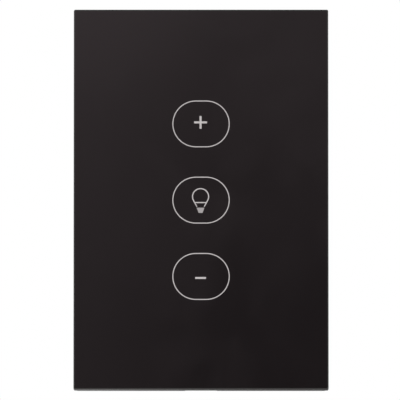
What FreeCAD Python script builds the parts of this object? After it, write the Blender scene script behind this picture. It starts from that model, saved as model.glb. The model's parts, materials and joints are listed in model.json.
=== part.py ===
import FreeCAD, Part
import math
import os

import Sketcher

Vector = FreeCAD.Vector
Rotation = FreeCAD.Rotation

# A smart dimmer switch for a 4 x 2 inch wall box: a glass touch panel on a moulded frame,
# pegged to a housing that holds the mains electronics and its clamp terminals.
# X is to the right and Z is up as the user sees it, and Y goes into the wall.
# The origin is on the wall's surface, midway between the two mounting screws.

# Every size that can be set by itself, in millimetres.
SIZES = {
    # Glass panel
    "panel_width": 80.0,
    "panel_height": 120.0,
    "glass_thickness": 4.0,
    "glass_corner": 0.5,
    "glass_bevel": 0.3,
    "face_depth": 11.0,
    # Printed key marks
    "key_pitch": 24.1,
    "key_drop": 0.3,
    "ring_length": 18.0,
    "ring_height": 14.8,
    "ring_line": 0.3,
    "mark_thickness": 0.05,
    "icon_shift": 0.15,
    "icon_offset": 0.48,
    "plus_length": 4.05,
    "plus_line": 0.64,
    "minus_length": 3.4,
    "minus_line": 0.6,
    "bulb_raise": 1.1,
    "bulb_radius": 2.7,
    "bulb_line": 0.34,
    "bulb_neck_width": 2.65,
    "bulb_neck_drop": 3.2,
    "bulb_chord_drop": 1.7,
    "bulb_cap_gap": 0.3,
    "bulb_cap_height": 1.65,
    "bulb_cap_width": 2.45,
    "bulb_cap_end_width": 1.2,
    # Adhesive tape
    "tape_thickness": 0.3,
    "tape_margin": 0.8,
    "tape_width": 6.0,
    # Front frame
    "frame_inset": 0.55,
    "frame_corner": 0.8,
    "frame_wall": 1.6,
    "web_thickness": 1.2,
    "wall_gap": 0.5,
    "notch_width": 10.0,
    "notch_depth": 2.0,
    "peg_diameter": 4.0,
    "peg_inset_across": 9.0,
    "peg_inset_up": 8.0,
    "peg_end_gap": 0.4,
    "standoff_height": 1.2,
    "standoff_diameter": 4.4,
    # Touch board and what it carries
    "touch_board_thickness": 1.2,
    "touch_board_width": 52.0,
    "touch_board_margin": 3.1,
    "touch_board_screw_inset": 4.0,
    "cup_margin": 0.6,
    "cup_wall": 0.8,
    "cup_gap": 0.15,
    "cup_window_gap": 0.3,
    "spring_diameter": 9.0,
    "spring_wire": 0.5,
    "spring_turns": 3.0,
    "led_length": 1.6,
    "led_width": 0.8,
    "led_height": 0.6,
    "led_inset": 1.6,
    "wifi_width": 16.0,
    "wifi_height": 20.0,
    "wifi_thickness": 0.8,
    "wifi_raise": 4.0,
    "shield_margin": 1.5,
    "shield_height": 2.0,
    "shield_sheet": 0.2,
    "antenna_length": 5.0,
    "touch_chip_drop": 20.0,
    # Link between the boards
    "pin_pitch": 2.54,
    "pin_width": 0.64,
    "pin_fit": 0.1,
    "pin_depth": 2.6,
    "header_depth": 2.5,
    "header_height": 2.5,
    "header_inset": 5.4,
    "socket_height": 3.7,
    "header_slot_gap": 0.8,
    # Fasteners of the boards
    "small_screw_diameter": 1.6,
    "small_screw_head": 3.4,
    "small_screw_head_height": 0.9,
    "small_screw_length": 3.0,
    "cover_screw_diameter": 2.2,
    "cover_screw_head": 4.2,
    "cover_screw_head_height": 1.2,
    "cover_screw_length": 12.0,
    "drive_slot_width": 0.5,
    "drive_slot_depth": 0.5,
    "thread_gap": 0.05,
    # Rear housing
    "screw_spacing": 83.5,
    "slot_width": 4.2,
    "slot_length": 7.0,
    "slot_land": 3.25,
    "flange_gap": 0.85,
    "flange_thickness": 1.8,
    "flange_corner": 3.0,
    "peg_boss_wall": 1.5,
    "peg_boss_height": 2.2,
    "peg_fit": 0.1,
    "box_width": 50.0,
    "box_depth": 28.0,
    "box_wall": 1.6,
    "box_inner_corner": 1.4,
    "post_diameter": 5.4,
    "post_inset": 2.6,
    "vent_pitch": 5.0,
    "vent_width": 2.0,
    "vent_length": 16.0,
    "wire_window_diameter": 4.4,
    "driver_hole_diameter": 4.2,
    # Inner cover and power board
    "cover_recess": 1.0,
    "cover_thickness": 1.2,
    "cover_boss_height": 1.8,
    "cover_boss_diameter": 4.8,
    "power_board_thickness": 1.6,
    "board_gap": 0.4,
    "screw_hole_gap": 0.2,
    # Clamp terminals
    "pole_pitch": 10.0,
    "wire_bore_diameter": 3.4,
    "wire_space": 3.6,
    "cage_width": 7.0,
    "cage_length": 6.0,
    "cage_wall": 1.0,
    "cage_nut_thickness": 1.6,
    "cage_travel": 2.5,
    "cage_gap": 0.2,
    "contact_width": 4.4,
    "contact_thickness": 1.0,
    "contact_leg_gap": 0.3,
    "block_post_gap": 0.2,
    "block_side_gap": 0.3,
    "block_side_wall": 1.4,
    "block_wire_wall": 1.4,
    "block_back_wall": 1.2,
    "block_ledge": 0.8,
    "block_well_depth": 1.8,
    "terminal_screw_diameter": 3.0,
    "terminal_screw_fit": 0.1,
    "terminal_thread_fit": 0.05,
    "terminal_screw_tip_gap": 0.1,
    "terminal_head_diameter": 5.0,
    "terminal_head_height": 1.6,
    "terminal_head_gap": 0.3,
    "terminal_slot_width": 0.8,
    "terminal_slot_depth": 0.8,
    # Triac and heat sink
    "step_gap": 0.5,
    "sink_gap": 0.6,
    "sink_width": 28.0,
    "sink_thickness": 1.5,
    "sink_rear_gap": 0.5,
    "sink_lip": 10.0,
    "pad_thickness": 0.3,
    "pad_margin": 1.0,
    "triac_width": 10.2,
    "triac_lead_length": 3.0,
    "triac_body_height": 9.0,
    "triac_body_thickness": 4.4,
    "triac_tab_height": 6.4,
    "triac_tab_thickness": 1.3,
    "triac_hole_diameter": 3.7,
    "triac_hole_drop": 2.9,
    "triac_lead_pitch": 2.54,
    "triac_lead_width": 0.8,
    "triac_lead_thickness": 0.5,
    "sink_screw_diameter": 3.0,
    "sink_screw_head": 5.0,
    "sink_screw_head_height": 1.8,
    # Mains filter
    "part_gap": 1.0,
    "film_length": 18.0,
    "film_depth": 8.5,
    "film_height": 13.0,
    "film_edge": 0.6,
    "choke_outer_diameter": 15.0,
    "choke_inner_diameter": 7.5,
    "choke_core_height": 6.5,
    "choke_layer": 1.3,
    "choke_winding_angle": 310.0,
    "fuse_diameter": 8.4,
    "fuse_height": 8.0,
    "fuse_edge": 0.5,
    "varistor_diameter": 10.0,
    "varistor_thickness": 4.0,
    "varistor_lead_length": 2.0,
    "varistor_lead_pitch": 5.0,
    "wire_lead": 0.7,
    # Low-voltage supply
    "transformer_width": 13.0,
    "transformer_height": 12.0,
    "transformer_depth": 6.0,
    "transformer_yoke": 2.0,
    "transformer_coil_depth": 11.0,
    "transformer_coil_gap": 0.2,
    "transformer_base_height": 2.0,
    "bulk_diameter": 8.0,
    "bulk_height": 14.0,
    "filter_diameter": 6.3,
    "filter_height": 11.0,
    "can_edge": 0.4,
    "can_groove_depth": 0.35,
    "can_groove_height": 1.2,
    "can_groove_rise": 1.6,
    # Chips
    "chip_lead_width": 0.4,
    "chip_lead_thickness": 0.2,
    "chip_foot": 0.6,
    "chip_shoulder": 0.6,
    "touch_chip_length": 9.9,
    "touch_chip_width": 3.9,
    "touch_chip_height": 1.5,
    "touch_chip_pitch": 1.27,
    "regulator_length": 4.9,
    "regulator_width": 3.9,
    "regulator_height": 1.5,
    "optocoupler_length": 4.6,
    "optocoupler_width": 6.5,
    "optocoupler_height": 3.5,
    "rectifier_length": 4.8,
    "rectifier_width": 4.0,
    "rectifier_height": 2.5,
    "wide_chip_pitch": 2.54,
}

POLES = ("line", "neutral", "load")
KEYS = ("plus", "on_off", "minus")
SIDES = (-1, 1)
CORNERS = ((-1, -1), (1, -1), (1, 1), (-1, 1))
PIN_COUNT = 8
VENT_COUNT = 6

# Share of the bulb's inner radius that its chord reaches, so that its ends lie in the line.
CHORD_SHARE = 0.8
# Share of a screw head's width that its cross recess takes.
DRIVE_SHARE = 0.55

# Turns that bring a piece's own Z to another direction.
FACE_WALL = Rotation(Vector(1, 0, 0), -90)
FACE_ROOM = Rotation(Vector(1, 0, 0), 90)
UPRIGHT = Rotation()

# Point numbers of a line or an arc, and the geometry and point of a sketch's own origin.
START, END, CENTRE = range(1, 4)
SKETCH_ORIGIN = (-1, START)

# The origin plane across each axis, and which way its sketches face along that axis.
PLANES = {"X": ("YZ_Plane", 1), "Y": ("XZ_Plane", -1), "Z": ("XY_Plane", 1)}


class Length:
    """A size held as a number and as the expression that gives it from the sheet."""

    def __init__(self, number, text):
        self.number = number
        self.text = text

    def __neg__(self):
        return Length(-self.number, f"(-{self.text})")

    def __add__(self, other):
        return Length(self.number + number_of(other), f"({self.text} + {text_of(other)})")

    def __radd__(self, other):
        return Length(other + self.number, f"({other} + {self.text})")

    def __sub__(self, other):
        return Length(self.number - number_of(other), f"({self.text} - {text_of(other)})")

    def __rsub__(self, other):
        return Length(other - self.number, f"({other} - {self.text})")

    def __mul__(self, other):
        return Length(self.number * number_of(other), f"({self.text} * {text_of(other)})")

    __rmul__ = __mul__

    def __truediv__(self, other):
        return Length(self.number / number_of(other), f"({self.text} / {text_of(other)})")


def number_of(size):
    """The number of a Length or of a plain number."""
    return size.number if isinstance(size, Length) else size


def text_of(size):
    """The expression of a Length or of a plain number."""
    return size.text if isinstance(size, Length) else str(size)


class Sheet:
    """The document's spreadsheet, which gives each size by its name."""

    def __init__(self, sizes):
        self.cells = doc.addObject("Spreadsheet::Sheet", "Dims")
        for row, (name, number) in enumerate(sizes.items(), start=1):
            self.cells.set(f"A{row}", name)
            self.cells.set(f"B{row}", str(number))
            self.cells.setAlias(f"B{row}", name)
        doc.recompute()

    def __getattr__(self, name):
        return Length(self.cells.get(name), f"Dims.{name}")


def bind(item, property_name, size):
    """Give a property a size, by expression where it comes from the sheet.

    A plain number is set only on a whole property: part of a placement holds it already.
    """
    if isinstance(size, Length):
        item.setExpression(property_name, size.text)
    elif hasattr(item, property_name):
        setattr(item, property_name, size)


def place(item, position, turn=UPRIGHT):
    """Turn a piece and put its own origin at a position."""
    item.Placement = FreeCAD.Placement(Vector(*[number_of(size) for size in position]), turn)
    for axis, size in zip("xyz", position):
        bind(item, f"Placement.Base.{axis}", size)
    return item


def name_piece(item, label):
    """Make an object one of the finished pieces."""
    item.Label = label
    pieces.append(item)
    return item


def new_body(label):
    """An empty body for one piece."""
    return name_piece(doc.addObject("PartDesign::Body", label.title().replace("_", "")), label)


class Outline:
    """A sketch in the plane across one axis of a body, which is padded or cut along it.

    Seen across X the sketch has Y across and Z up, across Y it has X and Z, and across Z
    it has X and Y. Pads and pockets always run towards the positive end of the axis.
    """

    def __init__(self, body, axis, distance):
        self.body = body
        role, self.facing = PLANES[axis]
        self.sketch = body.newObject("Sketcher::SketchObject", body.Name + "Outline")
        planes = [item for item in body.Origin.OriginFeatures if item.Role == role]
        self.sketch.AttachmentSupport = [(planes[0], "")]
        self.sketch.MapMode = "FlatFace"
        bind(self.sketch, "AttachmentOffset.Base.z", self.facing * distance)

    def constrain(self, *definition, size=None):
        """Add a constraint, with its size from the sheet if it has one."""
        if size is None:
            self.sketch.addConstraint(Sketcher.Constraint(*definition))
            return
        constraint = Sketcher.Constraint(*definition, number_of(size))
        index = self.sketch.addConstraint(constraint)
        bind(self.sketch, f"Constraints[{index}]", size)

    def fix_point(self, geometry, point, across, up):
        """Hold a point of the sketch at its place from the origin."""
        self.constrain("DistanceX", *SKETCH_ORIGIN, geometry, point, size=across)
        self.constrain("DistanceY", *SKETCH_ORIGIN, geometry, point, size=up)

    def polygon(self, corners):
        """A closed outline of straight lines."""
        points = [Vector(number_of(across), number_of(up), 0) for across, up in corners]
        ends = points[1:] + points[:1]
        lines = [self.sketch.addGeometry(Part.LineSegment(*pair)) for pair in zip(points, ends)]
        for line, following in zip(lines, lines[1:] + lines[:1]):
            self.constrain("Coincident", line, END, following, START)
        for line, (across, up) in zip(lines, corners):
            self.fix_point(line, START, across, up)
        return self

    def rectangle(self, left, right, low, high):
        """A rectangle between two places across and two up."""
        return self.polygon(((left, low), (right, low), (right, high), (left, high)))

    def circle(self, across, up, radius):
        """A circle about a centre."""
        centre = Vector(number_of(across), number_of(up), 0)
        circle = Part.Circle(centre, Vector(0, 0, 1), number_of(radius))
        index = self.sketch.addGeometry(circle)
        self.fix_point(index, CENTRE, across, up)
        self.constrain("Radius", index, size=radius)
        return self

    def arc(self, across, up, radius, first, last):
        """An arc about a centre, from one angle in radians to another."""
        centre = Vector(number_of(across), number_of(up), 0)
        circle = Part.Circle(centre, Vector(0, 0, 1), number_of(radius))
        return self.sketch.addGeometry(Part.ArcOfCircle(circle, first, last))

    def line_between(self, first, first_point, second, second_point):
        """A line that runs on smoothly from one arc into another."""
        start = self.sketch.getPoint(first, first_point)
        end = self.sketch.getPoint(second, second_point)
        line = self.sketch.addGeometry(Part.LineSegment(start, end))
        self.constrain("Tangent", line, START, first, first_point)
        self.constrain("Tangent", line, END, second, second_point)
        return line

    def slot(self, start, end, radius):
        """A straight slot with round ends about two centres."""
        lean = math.atan2(number_of(end[1]) - number_of(start[1]),
                          number_of(end[0]) - number_of(start[0]))
        quarter = math.pi / 2
        first = self.arc(*start, radius, lean + quarter, lean + 3 * quarter)
        last = self.arc(*end, radius, lean - quarter, lean + quarter)
        self.line_between(first, START, last, END)
        self.line_between(last, START, first, END)
        self.fix_point(first, CENTRE, *start)
        self.fix_point(last, CENTRE, *end)
        self.constrain("Equal", first, last)
        self.constrain("Radius", first, size=radius)
        return self

    def rounded_rectangle(self, left, right, low, high, radius):
        """A rectangle whose corners are arcs."""
        quarter = math.pi / 2
        centres = ((left + radius, low + radius), (right - radius, low + radius),
                   (right - radius, high - radius), (left + radius, high - radius))
        arcs = [self.arc(*centre, radius, (turn + 2) * quarter, (turn + 3) * quarter)
                for turn, centre in enumerate(centres)]
        for corner, following in zip(arcs, arcs[1:] + arcs[:1]):
            self.line_between(corner, END, following, START)
        for corner, centre in zip(arcs, centres):
            self.fix_point(corner, CENTRE, *centre)
        for corner in arcs[1:]:
            self.constrain("Equal", arcs[0], corner)
        self.constrain("Radius", arcs[0], size=radius)
        return self

    def frame_rectangle(self, half_width, half_height, radius):
        """A rounded rectangle about the sketch's origin."""
        return self.rounded_rectangle(-half_width, half_width, -half_height, half_height, radius)

    def circles(self, centres, radius):
        """Equal circles about several centres."""
        for across, up in centres:
            self.circle(across, up, radius)
        return self

    def pad(self, length):
        """Raise the outline into solid."""
        feature = self.body.newObject("PartDesign::Pad", self.body.Name + "Pad")
        feature.Profile = self.sketch
        feature.Reversed = self.facing < 0
        bind(feature, "Length", length)
        return self.finish(feature)

    def relieve(self, length):
        """Cut the outline out of the solid, where the solid reaches into it."""
        feature = self.body.newObject("PartDesign::Pocket", self.body.Name + "Pocket")
        feature.Profile = self.sketch
        feature.Reversed = self.facing > 0
        bind(feature, "Length", length)
        return self.finish(feature)

    def pocket(self, length):
        """Cut the outline out of the solid, and see that it took something away."""
        doc.recompute()
        before = self.body.Shape.Volume
        feature = self.relieve(length)
        doc.recompute()
        if not self.body.Shape.Volume < before:
            raise RuntimeError(f"{feature.Name} of {self.body.Label} cuts nothing")
        return feature

    def revolve(self, angle=360.0):
        """Turn the outline about the sketch's upright axis."""
        feature = self.body.newObject("PartDesign::Revolution", self.body.Name + "Turn")
        feature.Profile = self.sketch
        feature.ReferenceAxis = (self.sketch, ["V_Axis"])
        bind(feature, "Angle", angle)
        return self.finish(feature)

    def finish(self, feature):
        """Hide the sketch behind its feature, and make the feature the body's last."""
        self.sketch.Visibility = False
        self.body.Tip = feature
        return feature


def chamfer_face(body, axis, distance, size):
    """Chamfer every edge of the body's flat face at a place on an axis."""
    doc.recompute()
    base = body.Tip
    number = "XYZ".index(axis)
    names = [f"Face{index}" for index, face in enumerate(base.Shape.Faces, start=1)
             if abs(face.BoundBox.Center[number] - number_of(distance)) < FLAT
             and (face.BoundBox.XLength, face.BoundBox.YLength, face.BoundBox.ZLength)[number] < FLAT]
    feature = body.newObject("PartDesign::Chamfer", body.Name + "Chamfer")
    feature.Base = (base, names)
    bind(feature, "Size", size)
    body.Tip = feature
    return feature


def round_edges(body, axis, size):
    """Round the body's straight edges that run along an axis."""
    doc.recompute()
    base = body.Tip
    direction = dict(zip("XYZ", (Vector(1, 0, 0), Vector(0, 1, 0), Vector(0, 0, 1))))[axis]
    names = [f"Edge{index}" for index, edge in enumerate(base.Shape.Edges, start=1)
             if isinstance(edge.Curve, Part.Line)
             and abs(edge.Curve.Direction.dot(direction)) > 1 - FLAT]
    feature = body.newObject("PartDesign::Fillet", body.Name + "Fillet")
    feature.Base = (base, names)
    bind(feature, "Radius", size)
    body.Tip = feature
    return feature


def block(name, across, into, up):
    """A box between two places on each axis."""
    item = doc.addObject("Part::Box", name)
    for property_name, (low, high) in zip(("Length", "Width", "Height"), (across, into, up)):
        bind(item, property_name, high - low)
    return place(item, (across[0], into[0], up[0]))


def rod(name, position, radius, length, turn=UPRIGHT):
    """A cylinder that runs from a position along its own turned Z."""
    item = doc.addObject("Part::Cylinder", name)
    bind(item, "Radius", radius)
    bind(item, "Height", length)
    return place(item, position, turn)


def fuse(name, items):
    """Several solids as one."""
    item = doc.addObject("Part::MultiFuse", name)
    item.Shapes = items
    item.Refine = True
    return item


def cut(name, base, tool):
    """A solid with another taken out of it."""
    item = doc.addObject("Part::Cut", name)
    item.Base = base
    item.Tool = tool
    item.Refine = True
    return item


def group(name, items):
    """Separate solids held as one piece's shape."""
    item = doc.addObject("Part::Compound", name)
    item.Links = items
    return item


def centred(middle, length):
    """The two ends of a length about its middle."""
    return middle - length / 2, middle + length / 2


FLAT = 1e-6

doc = FreeCAD.newDocument("SmartDimmerSwitch")
pieces = []
d = Sheet(SIZES)

# Places along Y, from the glass face at the front to the bottom of the box.
glass_front = -d.face_depth
glass_back = glass_front + d.glass_thickness
frame_front = glass_back + d.tape_thickness
web_back = frame_front + d.web_thickness
frame_end = -d.wall_gap
touch_front = web_back + d.standoff_height
touch_back = touch_front + d.touch_board_thickness
flange_front = -d.flange_thickness
wall_plane = flange_front + d.flange_thickness
boss_front = flange_front - d.peg_boss_height
cover_front = wall_plane + d.cover_recess
cover_back = cover_front + d.cover_thickness
power_front = cover_back + d.cover_boss_height
power_back = power_front + d.power_board_thickness
cage_low = power_back + d.cage_gap
wire_low = cage_low + d.cage_wall
wire_middle = wire_low + d.wire_space / 2
contact_low = wire_low + d.wire_space
contact_high = contact_low + d.contact_thickness
nut_low = contact_high + d.cage_gap
cage_high = nut_low + d.cage_nut_thickness
ledge_low = cage_high + d.cage_travel + d.cage_gap
ledge_high = ledge_low + d.block_ledge
block_high = ledge_high + d.block_well_depth
shallow_inner = block_high + d.block_side_gap
shallow_outer = shallow_inner + d.box_wall
deep_outer = wall_plane + d.box_depth
deep_inner = deep_outer - d.box_wall

# Half widths and heights of what lies about the origin.
panel_half_width = d.panel_width / 2
panel_half_height = d.panel_height / 2
frame_half_width = panel_half_width - d.frame_inset
frame_half_height = panel_half_height - d.frame_inset
flange_half_width = frame_half_width - d.frame_wall - d.flange_gap
flange_half_height = frame_half_height - d.frame_wall - d.flange_gap
box_half_width = d.box_width / 2
box_half_height = (d.screw_spacing - d.slot_length) / 2 - d.slot_land
inner_half_width = box_half_width - d.box_wall
inner_half_height = box_half_height - d.box_wall
box_corner = d.box_inner_corner + d.box_wall
power_half_width = inner_half_width - d.board_gap
power_half_height = inner_half_height - d.board_gap
cup_half_straight = (d.ring_length - d.ring_height) / 2
cup_inner_radius = d.ring_height / 2 + d.cup_margin
cup_outer_radius = cup_inner_radius + d.cup_wall
touch_half_width = d.touch_board_width / 2
touch_half_height = d.key_pitch + cup_outer_radius + d.touch_board_margin

# Places up, from the clamp terminals at the bottom of the box to its top.
block_low = -inner_half_height + d.block_side_gap
chamber_low = block_low + d.block_wire_wall
cage_start = chamber_low + d.cage_gap
cage_end = cage_start + d.cage_length
leg_start = cage_end + d.contact_leg_gap
leg_end = leg_start + d.contact_thickness
chamber_high = leg_end + d.cage_gap
block_top = chamber_high + d.block_back_wall
terminal_axis = (cage_start + cage_end) / 2
step_start = block_top + d.step_gap
step_end = step_start + d.box_wall
sink_start = step_end + d.sink_gap
sink_end = sink_start + d.sink_thickness
pad_end = sink_end + d.pad_thickness
tab_end = pad_end + d.triac_tab_thickness
triac_end = pad_end + d.triac_body_thickness
filter_row = triac_end + d.part_gap
film_end = filter_row + d.film_depth
choke_radius = d.choke_outer_diameter / 2 + d.choke_layer
choke_middle = filter_row + choke_radius
choke_end = choke_middle + choke_radius
fuse_middle = film_end + d.part_gap + d.fuse_diameter / 2
fuse_end = fuse_middle + d.fuse_diameter / 2
supply_row = choke_end + d.part_gap
transformer_middle = supply_row + d.transformer_coil_depth / 2
bulk_middle = fuse_end + d.part_gap + d.bulk_diameter / 2
chip_row = bulk_middle + d.bulk_diameter / 2 + d.part_gap + d.rectifier_width
header_middle = inner_half_height - d.header_inset

# Where the repeated things stand, as places across and up.
key_middles = {name: -d.key_drop + step * d.key_pitch for name, step in zip(KEYS, (1, 0, -1))}
pole_middles = {name: step * d.pole_pitch for name, step in zip(POLES, (-1, 0, 1))}
peg_places = [(side * (panel_half_width - d.peg_inset_across),
               end * (panel_half_height - d.peg_inset_up)) for side, end in CORNERS]
standoff_places = [(side * (touch_half_width - d.touch_board_screw_inset),
                    end * (touch_half_height - d.touch_board_screw_inset))
                   for side, end in CORNERS]
post_places = [(side * (inner_half_width - d.post_inset),
                end * (inner_half_height - d.post_inset)) for side, end in CORNERS]
lower_posts, upper_posts = post_places[:2], post_places[2:]


def make_glass_panel():
    """The glass plate, with ground corners and a fine bevel round its face."""
    body = new_body("glass_panel")
    outline = Outline(body, "Y", glass_front)
    outline.frame_rectangle(panel_half_width, panel_half_height, d.glass_corner)
    outline.pad(d.glass_thickness)
    chamfer_face(body, "Y", glass_front, d.glass_bevel)


def new_print(name):
    """A body for one printed shape, and its outline on the glass."""
    body = doc.addObject("PartDesign::Body", name)
    return body, Outline(body, "Y", glass_front - d.mark_thickness)


def make_ring(name, middle):
    """The printed ring about a key."""
    body, outline = new_print(name)
    for radius in (d.ring_height / 2, d.ring_height / 2 - d.ring_line):
        outline.slot((-cup_half_straight, middle), (cup_half_straight, middle), radius)
    outline.pad(d.mark_thickness)
    return body


def make_key_mark_plus():
    """The upper key's ring and its plus sign."""
    across = -d.icon_shift
    up = key_middles["plus"] + d.icon_offset
    arm = d.plus_length / 2
    line = d.plus_line / 2
    body, outline = new_print("PlusSign")
    outline.polygon(((across - line, up - arm), (across + line, up - arm),
                     (across + line, up - line), (across + arm, up - line),
                     (across + arm, up + line), (across + line, up + line),
                     (across + line, up + arm), (across - line, up + arm),
                     (across - line, up + line), (across - arm, up + line),
                     (across - arm, up - line), (across - line, up - line)))
    outline.pad(d.mark_thickness)
    ring = make_ring("PlusRing", key_middles["plus"])
    name_piece(group("KeyMarkPlus", [ring, body]), "key_mark_plus")


def make_key_mark_minus():
    """The lower key's ring and its minus sign."""
    up = key_middles["minus"] - d.icon_offset
    body, outline = new_print("MinusSign")
    outline.rectangle(*centred(-d.icon_shift, d.minus_length), *centred(up, d.minus_line))
    outline.pad(d.mark_thickness)
    ring = make_ring("MinusRing", key_middles["minus"])
    name_piece(group("KeyMarkMinus", [ring, body]), "key_mark_minus")


def draw_bulb_glass(outline, across, up):
    """The line that goes round the bulb and down both sides of its neck."""
    neck = d.bulb_neck_width / 2
    low = up - d.bulb_neck_drop
    reach = math.hypot(number_of(neck), number_of(d.bulb_neck_drop))
    lean = math.atan2(-number_of(d.bulb_neck_drop), number_of(neck))
    touch = lean + math.acos(number_of(d.bulb_radius) / reach)
    outer = outline.arc(across, up, d.bulb_radius, touch, math.pi - touch)
    inner = outline.arc(across, up, d.bulb_radius - d.bulb_line, touch, math.pi - touch)
    outline.fix_point(outer, CENTRE, across, up)
    outline.fix_point(inner, CENTRE, across, up)
    outline.constrain("Radius", outer, size=d.bulb_radius)
    outline.constrain("Radius", inner, size=d.bulb_radius - d.bulb_line)
    for side, end in ((1, START), (-1, END)):
        feet = []
        for arc, foot in ((outer, neck), (inner, neck - d.bulb_line)):
            place_across = across + side * foot
            start = outline.sketch.getPoint(arc, end)
            stop = Vector(number_of(place_across), number_of(low), 0)
            leg = outline.sketch.addGeometry(Part.LineSegment(start, stop))
            outline.constrain("Tangent", leg, START, arc, end)
            outline.fix_point(leg, END, place_across, low)
            feet.append((leg, stop))
        foot_line = outline.sketch.addGeometry(Part.LineSegment(feet[0][1], feet[1][1]))
        outline.constrain("Coincident", foot_line, START, feet[0][0], END)
        outline.constrain("Coincident", foot_line, END, feet[1][0], END)


def make_key_mark_on_off():
    """The middle key's ring and its light bulb."""
    across = -d.icon_shift
    up = key_middles["on_off"] + d.bulb_raise
    glass, outline = new_print("BulbGlass")
    draw_bulb_glass(outline, across, up)
    outline.pad(d.mark_thickness)
    chord_up = up - d.bulb_chord_drop
    chord_half = d.bulb_radius - d.bulb_line
    chord, outline = new_print("BulbChord")
    outline.rectangle(across - chord_half * CHORD_SHARE, across + chord_half * CHORD_SHARE,
                      chord_up - d.bulb_line, chord_up)
    outline.pad(d.mark_thickness)
    cap_high = up - d.bulb_neck_drop - d.bulb_cap_gap
    cap_low = cap_high - d.bulb_cap_height
    cap, outline = new_print("BulbCap")
    outline.polygon(((across - d.bulb_cap_end_width / 2, cap_low),
                     (across + d.bulb_cap_end_width / 2, cap_low),
                     (across + d.bulb_cap_width / 2, cap_high),
                     (across - d.bulb_cap_width / 2, cap_high)))
    outline.pad(d.mark_thickness)
    bulb = fuse("Bulb", [glass, chord])
    ring = make_ring("OnOffRing", key_middles["on_off"])
    name_piece(group("KeyMarkOnOff", [ring, bulb, cap]), "key_mark_on_off")


def make_adhesive_tape():
    """The tape between the glass and the frame, cut as one ring."""
    body = new_body("adhesive_tape")
    outline = Outline(body, "Y", glass_back)
    half_width = frame_half_width - d.tape_margin
    half_height = frame_half_height - d.tape_margin
    outline.rectangle(-half_width, half_width, -half_height, half_height)
    half_width = half_width - d.tape_width
    half_height = half_height - d.tape_width
    outline.rectangle(-half_width, half_width, -half_height, half_height)
    outline.pad(d.tape_thickness)


def make_front_frame():
    """The moulded tray behind the glass, with key windows, standoffs and pegs."""
    body = new_body("front_frame")
    outline = Outline(body, "Y", frame_front)
    outline.frame_rectangle(frame_half_width, frame_half_height, d.frame_corner)
    outline.pad(frame_end - frame_front)
    outline = Outline(body, "Y", web_back)
    half_width = frame_half_width - d.frame_wall
    half_height = frame_half_height - d.frame_wall
    outline.rectangle(-half_width, half_width, -half_height, half_height)
    outline.pocket(frame_end - web_back)
    outline = Outline(body, "Y", frame_front)
    for middle in key_middles.values():
        outline.slot((-cup_half_straight, middle), (cup_half_straight, middle),
                     cup_outer_radius + d.cup_window_gap)
    outline.pocket(d.web_thickness)
    outline = Outline(body, "Y", web_back)
    outline.circles(standoff_places, d.standoff_diameter / 2)
    outline.pad(d.standoff_height)
    outline = Outline(body, "Y", web_back)
    outline.circles(peg_places, d.peg_diameter / 2)
    outline.pad(wall_plane - d.peg_end_gap - web_back)
    outline = Outline(body, "Y", touch_back - d.small_screw_length)
    outline.circles(standoff_places, d.small_screw_diameter / 2 + d.thread_gap)
    outline.pocket(d.small_screw_length)
    outline = Outline(body, "Z", -frame_half_height)
    outline.rectangle(*centred(0, d.notch_width), frame_end - d.notch_depth, frame_end)
    outline.pocket(d.frame_wall)


def make_touch_board():
    """The board that carries the touch springs, the lamps and the radio."""
    body = new_body("touch_board")
    outline = Outline(body, "Y", touch_front)
    outline.rectangle(-touch_half_width, touch_half_width, -touch_half_height, touch_half_height)
    outline.circles(standoff_places, d.small_screw_diameter / 2 + d.screw_hole_gap)
    outline.pad(d.touch_board_thickness)


def make_touch_spring(key):
    """The wire spring that brings a key's touch from the glass to the board."""
    helix = doc.addObject("Part::Helix", "SpringLine")
    height = touch_front - glass_back - d.spring_wire
    bind(helix, "Height", height)
    bind(helix, "Pitch", height / d.spring_turns)
    bind(helix, "Radius", (d.spring_diameter - d.spring_wire) / 2)
    section = doc.addObject("Part::Circle", "SpringWire")
    bind(section, "Radius", d.spring_wire / 2)
    place(section, ((d.spring_diameter - d.spring_wire) / 2, 0, 0), FACE_ROOM)
    spring = doc.addObject("Part::Sweep", "TouchSpring")
    spring.Sections = [section]
    spring.Spine = helix
    spring.Solid = True
    spring.Frenet = True
    place(spring, (0, glass_back + d.spring_wire / 2, key_middles[key]), FACE_WALL)
    name_piece(spring, f"touch_spring_{key}")


def make_light_cup(key):
    """The white wall that keeps a key's light under its own ring."""
    body = new_body(f"light_cup_{key}")
    outline = Outline(body, "Y", glass_back + d.cup_gap)
    middle = key_middles[key]
    for radius in (cup_outer_radius, cup_inner_radius):
        outline.slot((-cup_half_straight, middle), (cup_half_straight, middle), radius)
    outline.pad(touch_front - glass_back - d.cup_gap)


def make_led(key):
    """The lamp behind a key."""
    middle = d.led_inset - cup_half_straight - cup_inner_radius
    lamp = block(f"Led{key.title()}", centred(middle, d.led_width),
                 (touch_front - d.led_height, touch_front),
                 centred(key_middles[key], d.led_length))
    name_piece(lamp, f"led_{key}")


def make_screw(name, diameter, length, head, head_height):
    """A screw with a slotted round head, whose head rests at its own zero height."""
    body = doc.addObject("PartDesign::Body", name)
    outline = Outline(body, "Y", 0)
    outline.polygon(((0, -length), (diameter / 2, -length), (diameter / 2, 0),
                     (head / 2, 0), (head / 2, head_height), (0, head_height)))
    outline.revolve()
    slots = ((d.drive_slot_width, head * DRIVE_SHARE), (head * DRIVE_SHARE, d.drive_slot_width))
    for across, up in slots:
        outline = Outline(body, "Z", head_height - d.drive_slot_depth)
        outline.rectangle(*centred(0, across), *centred(0, up))
        outline.pocket(d.drive_slot_depth)
    return body


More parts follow.
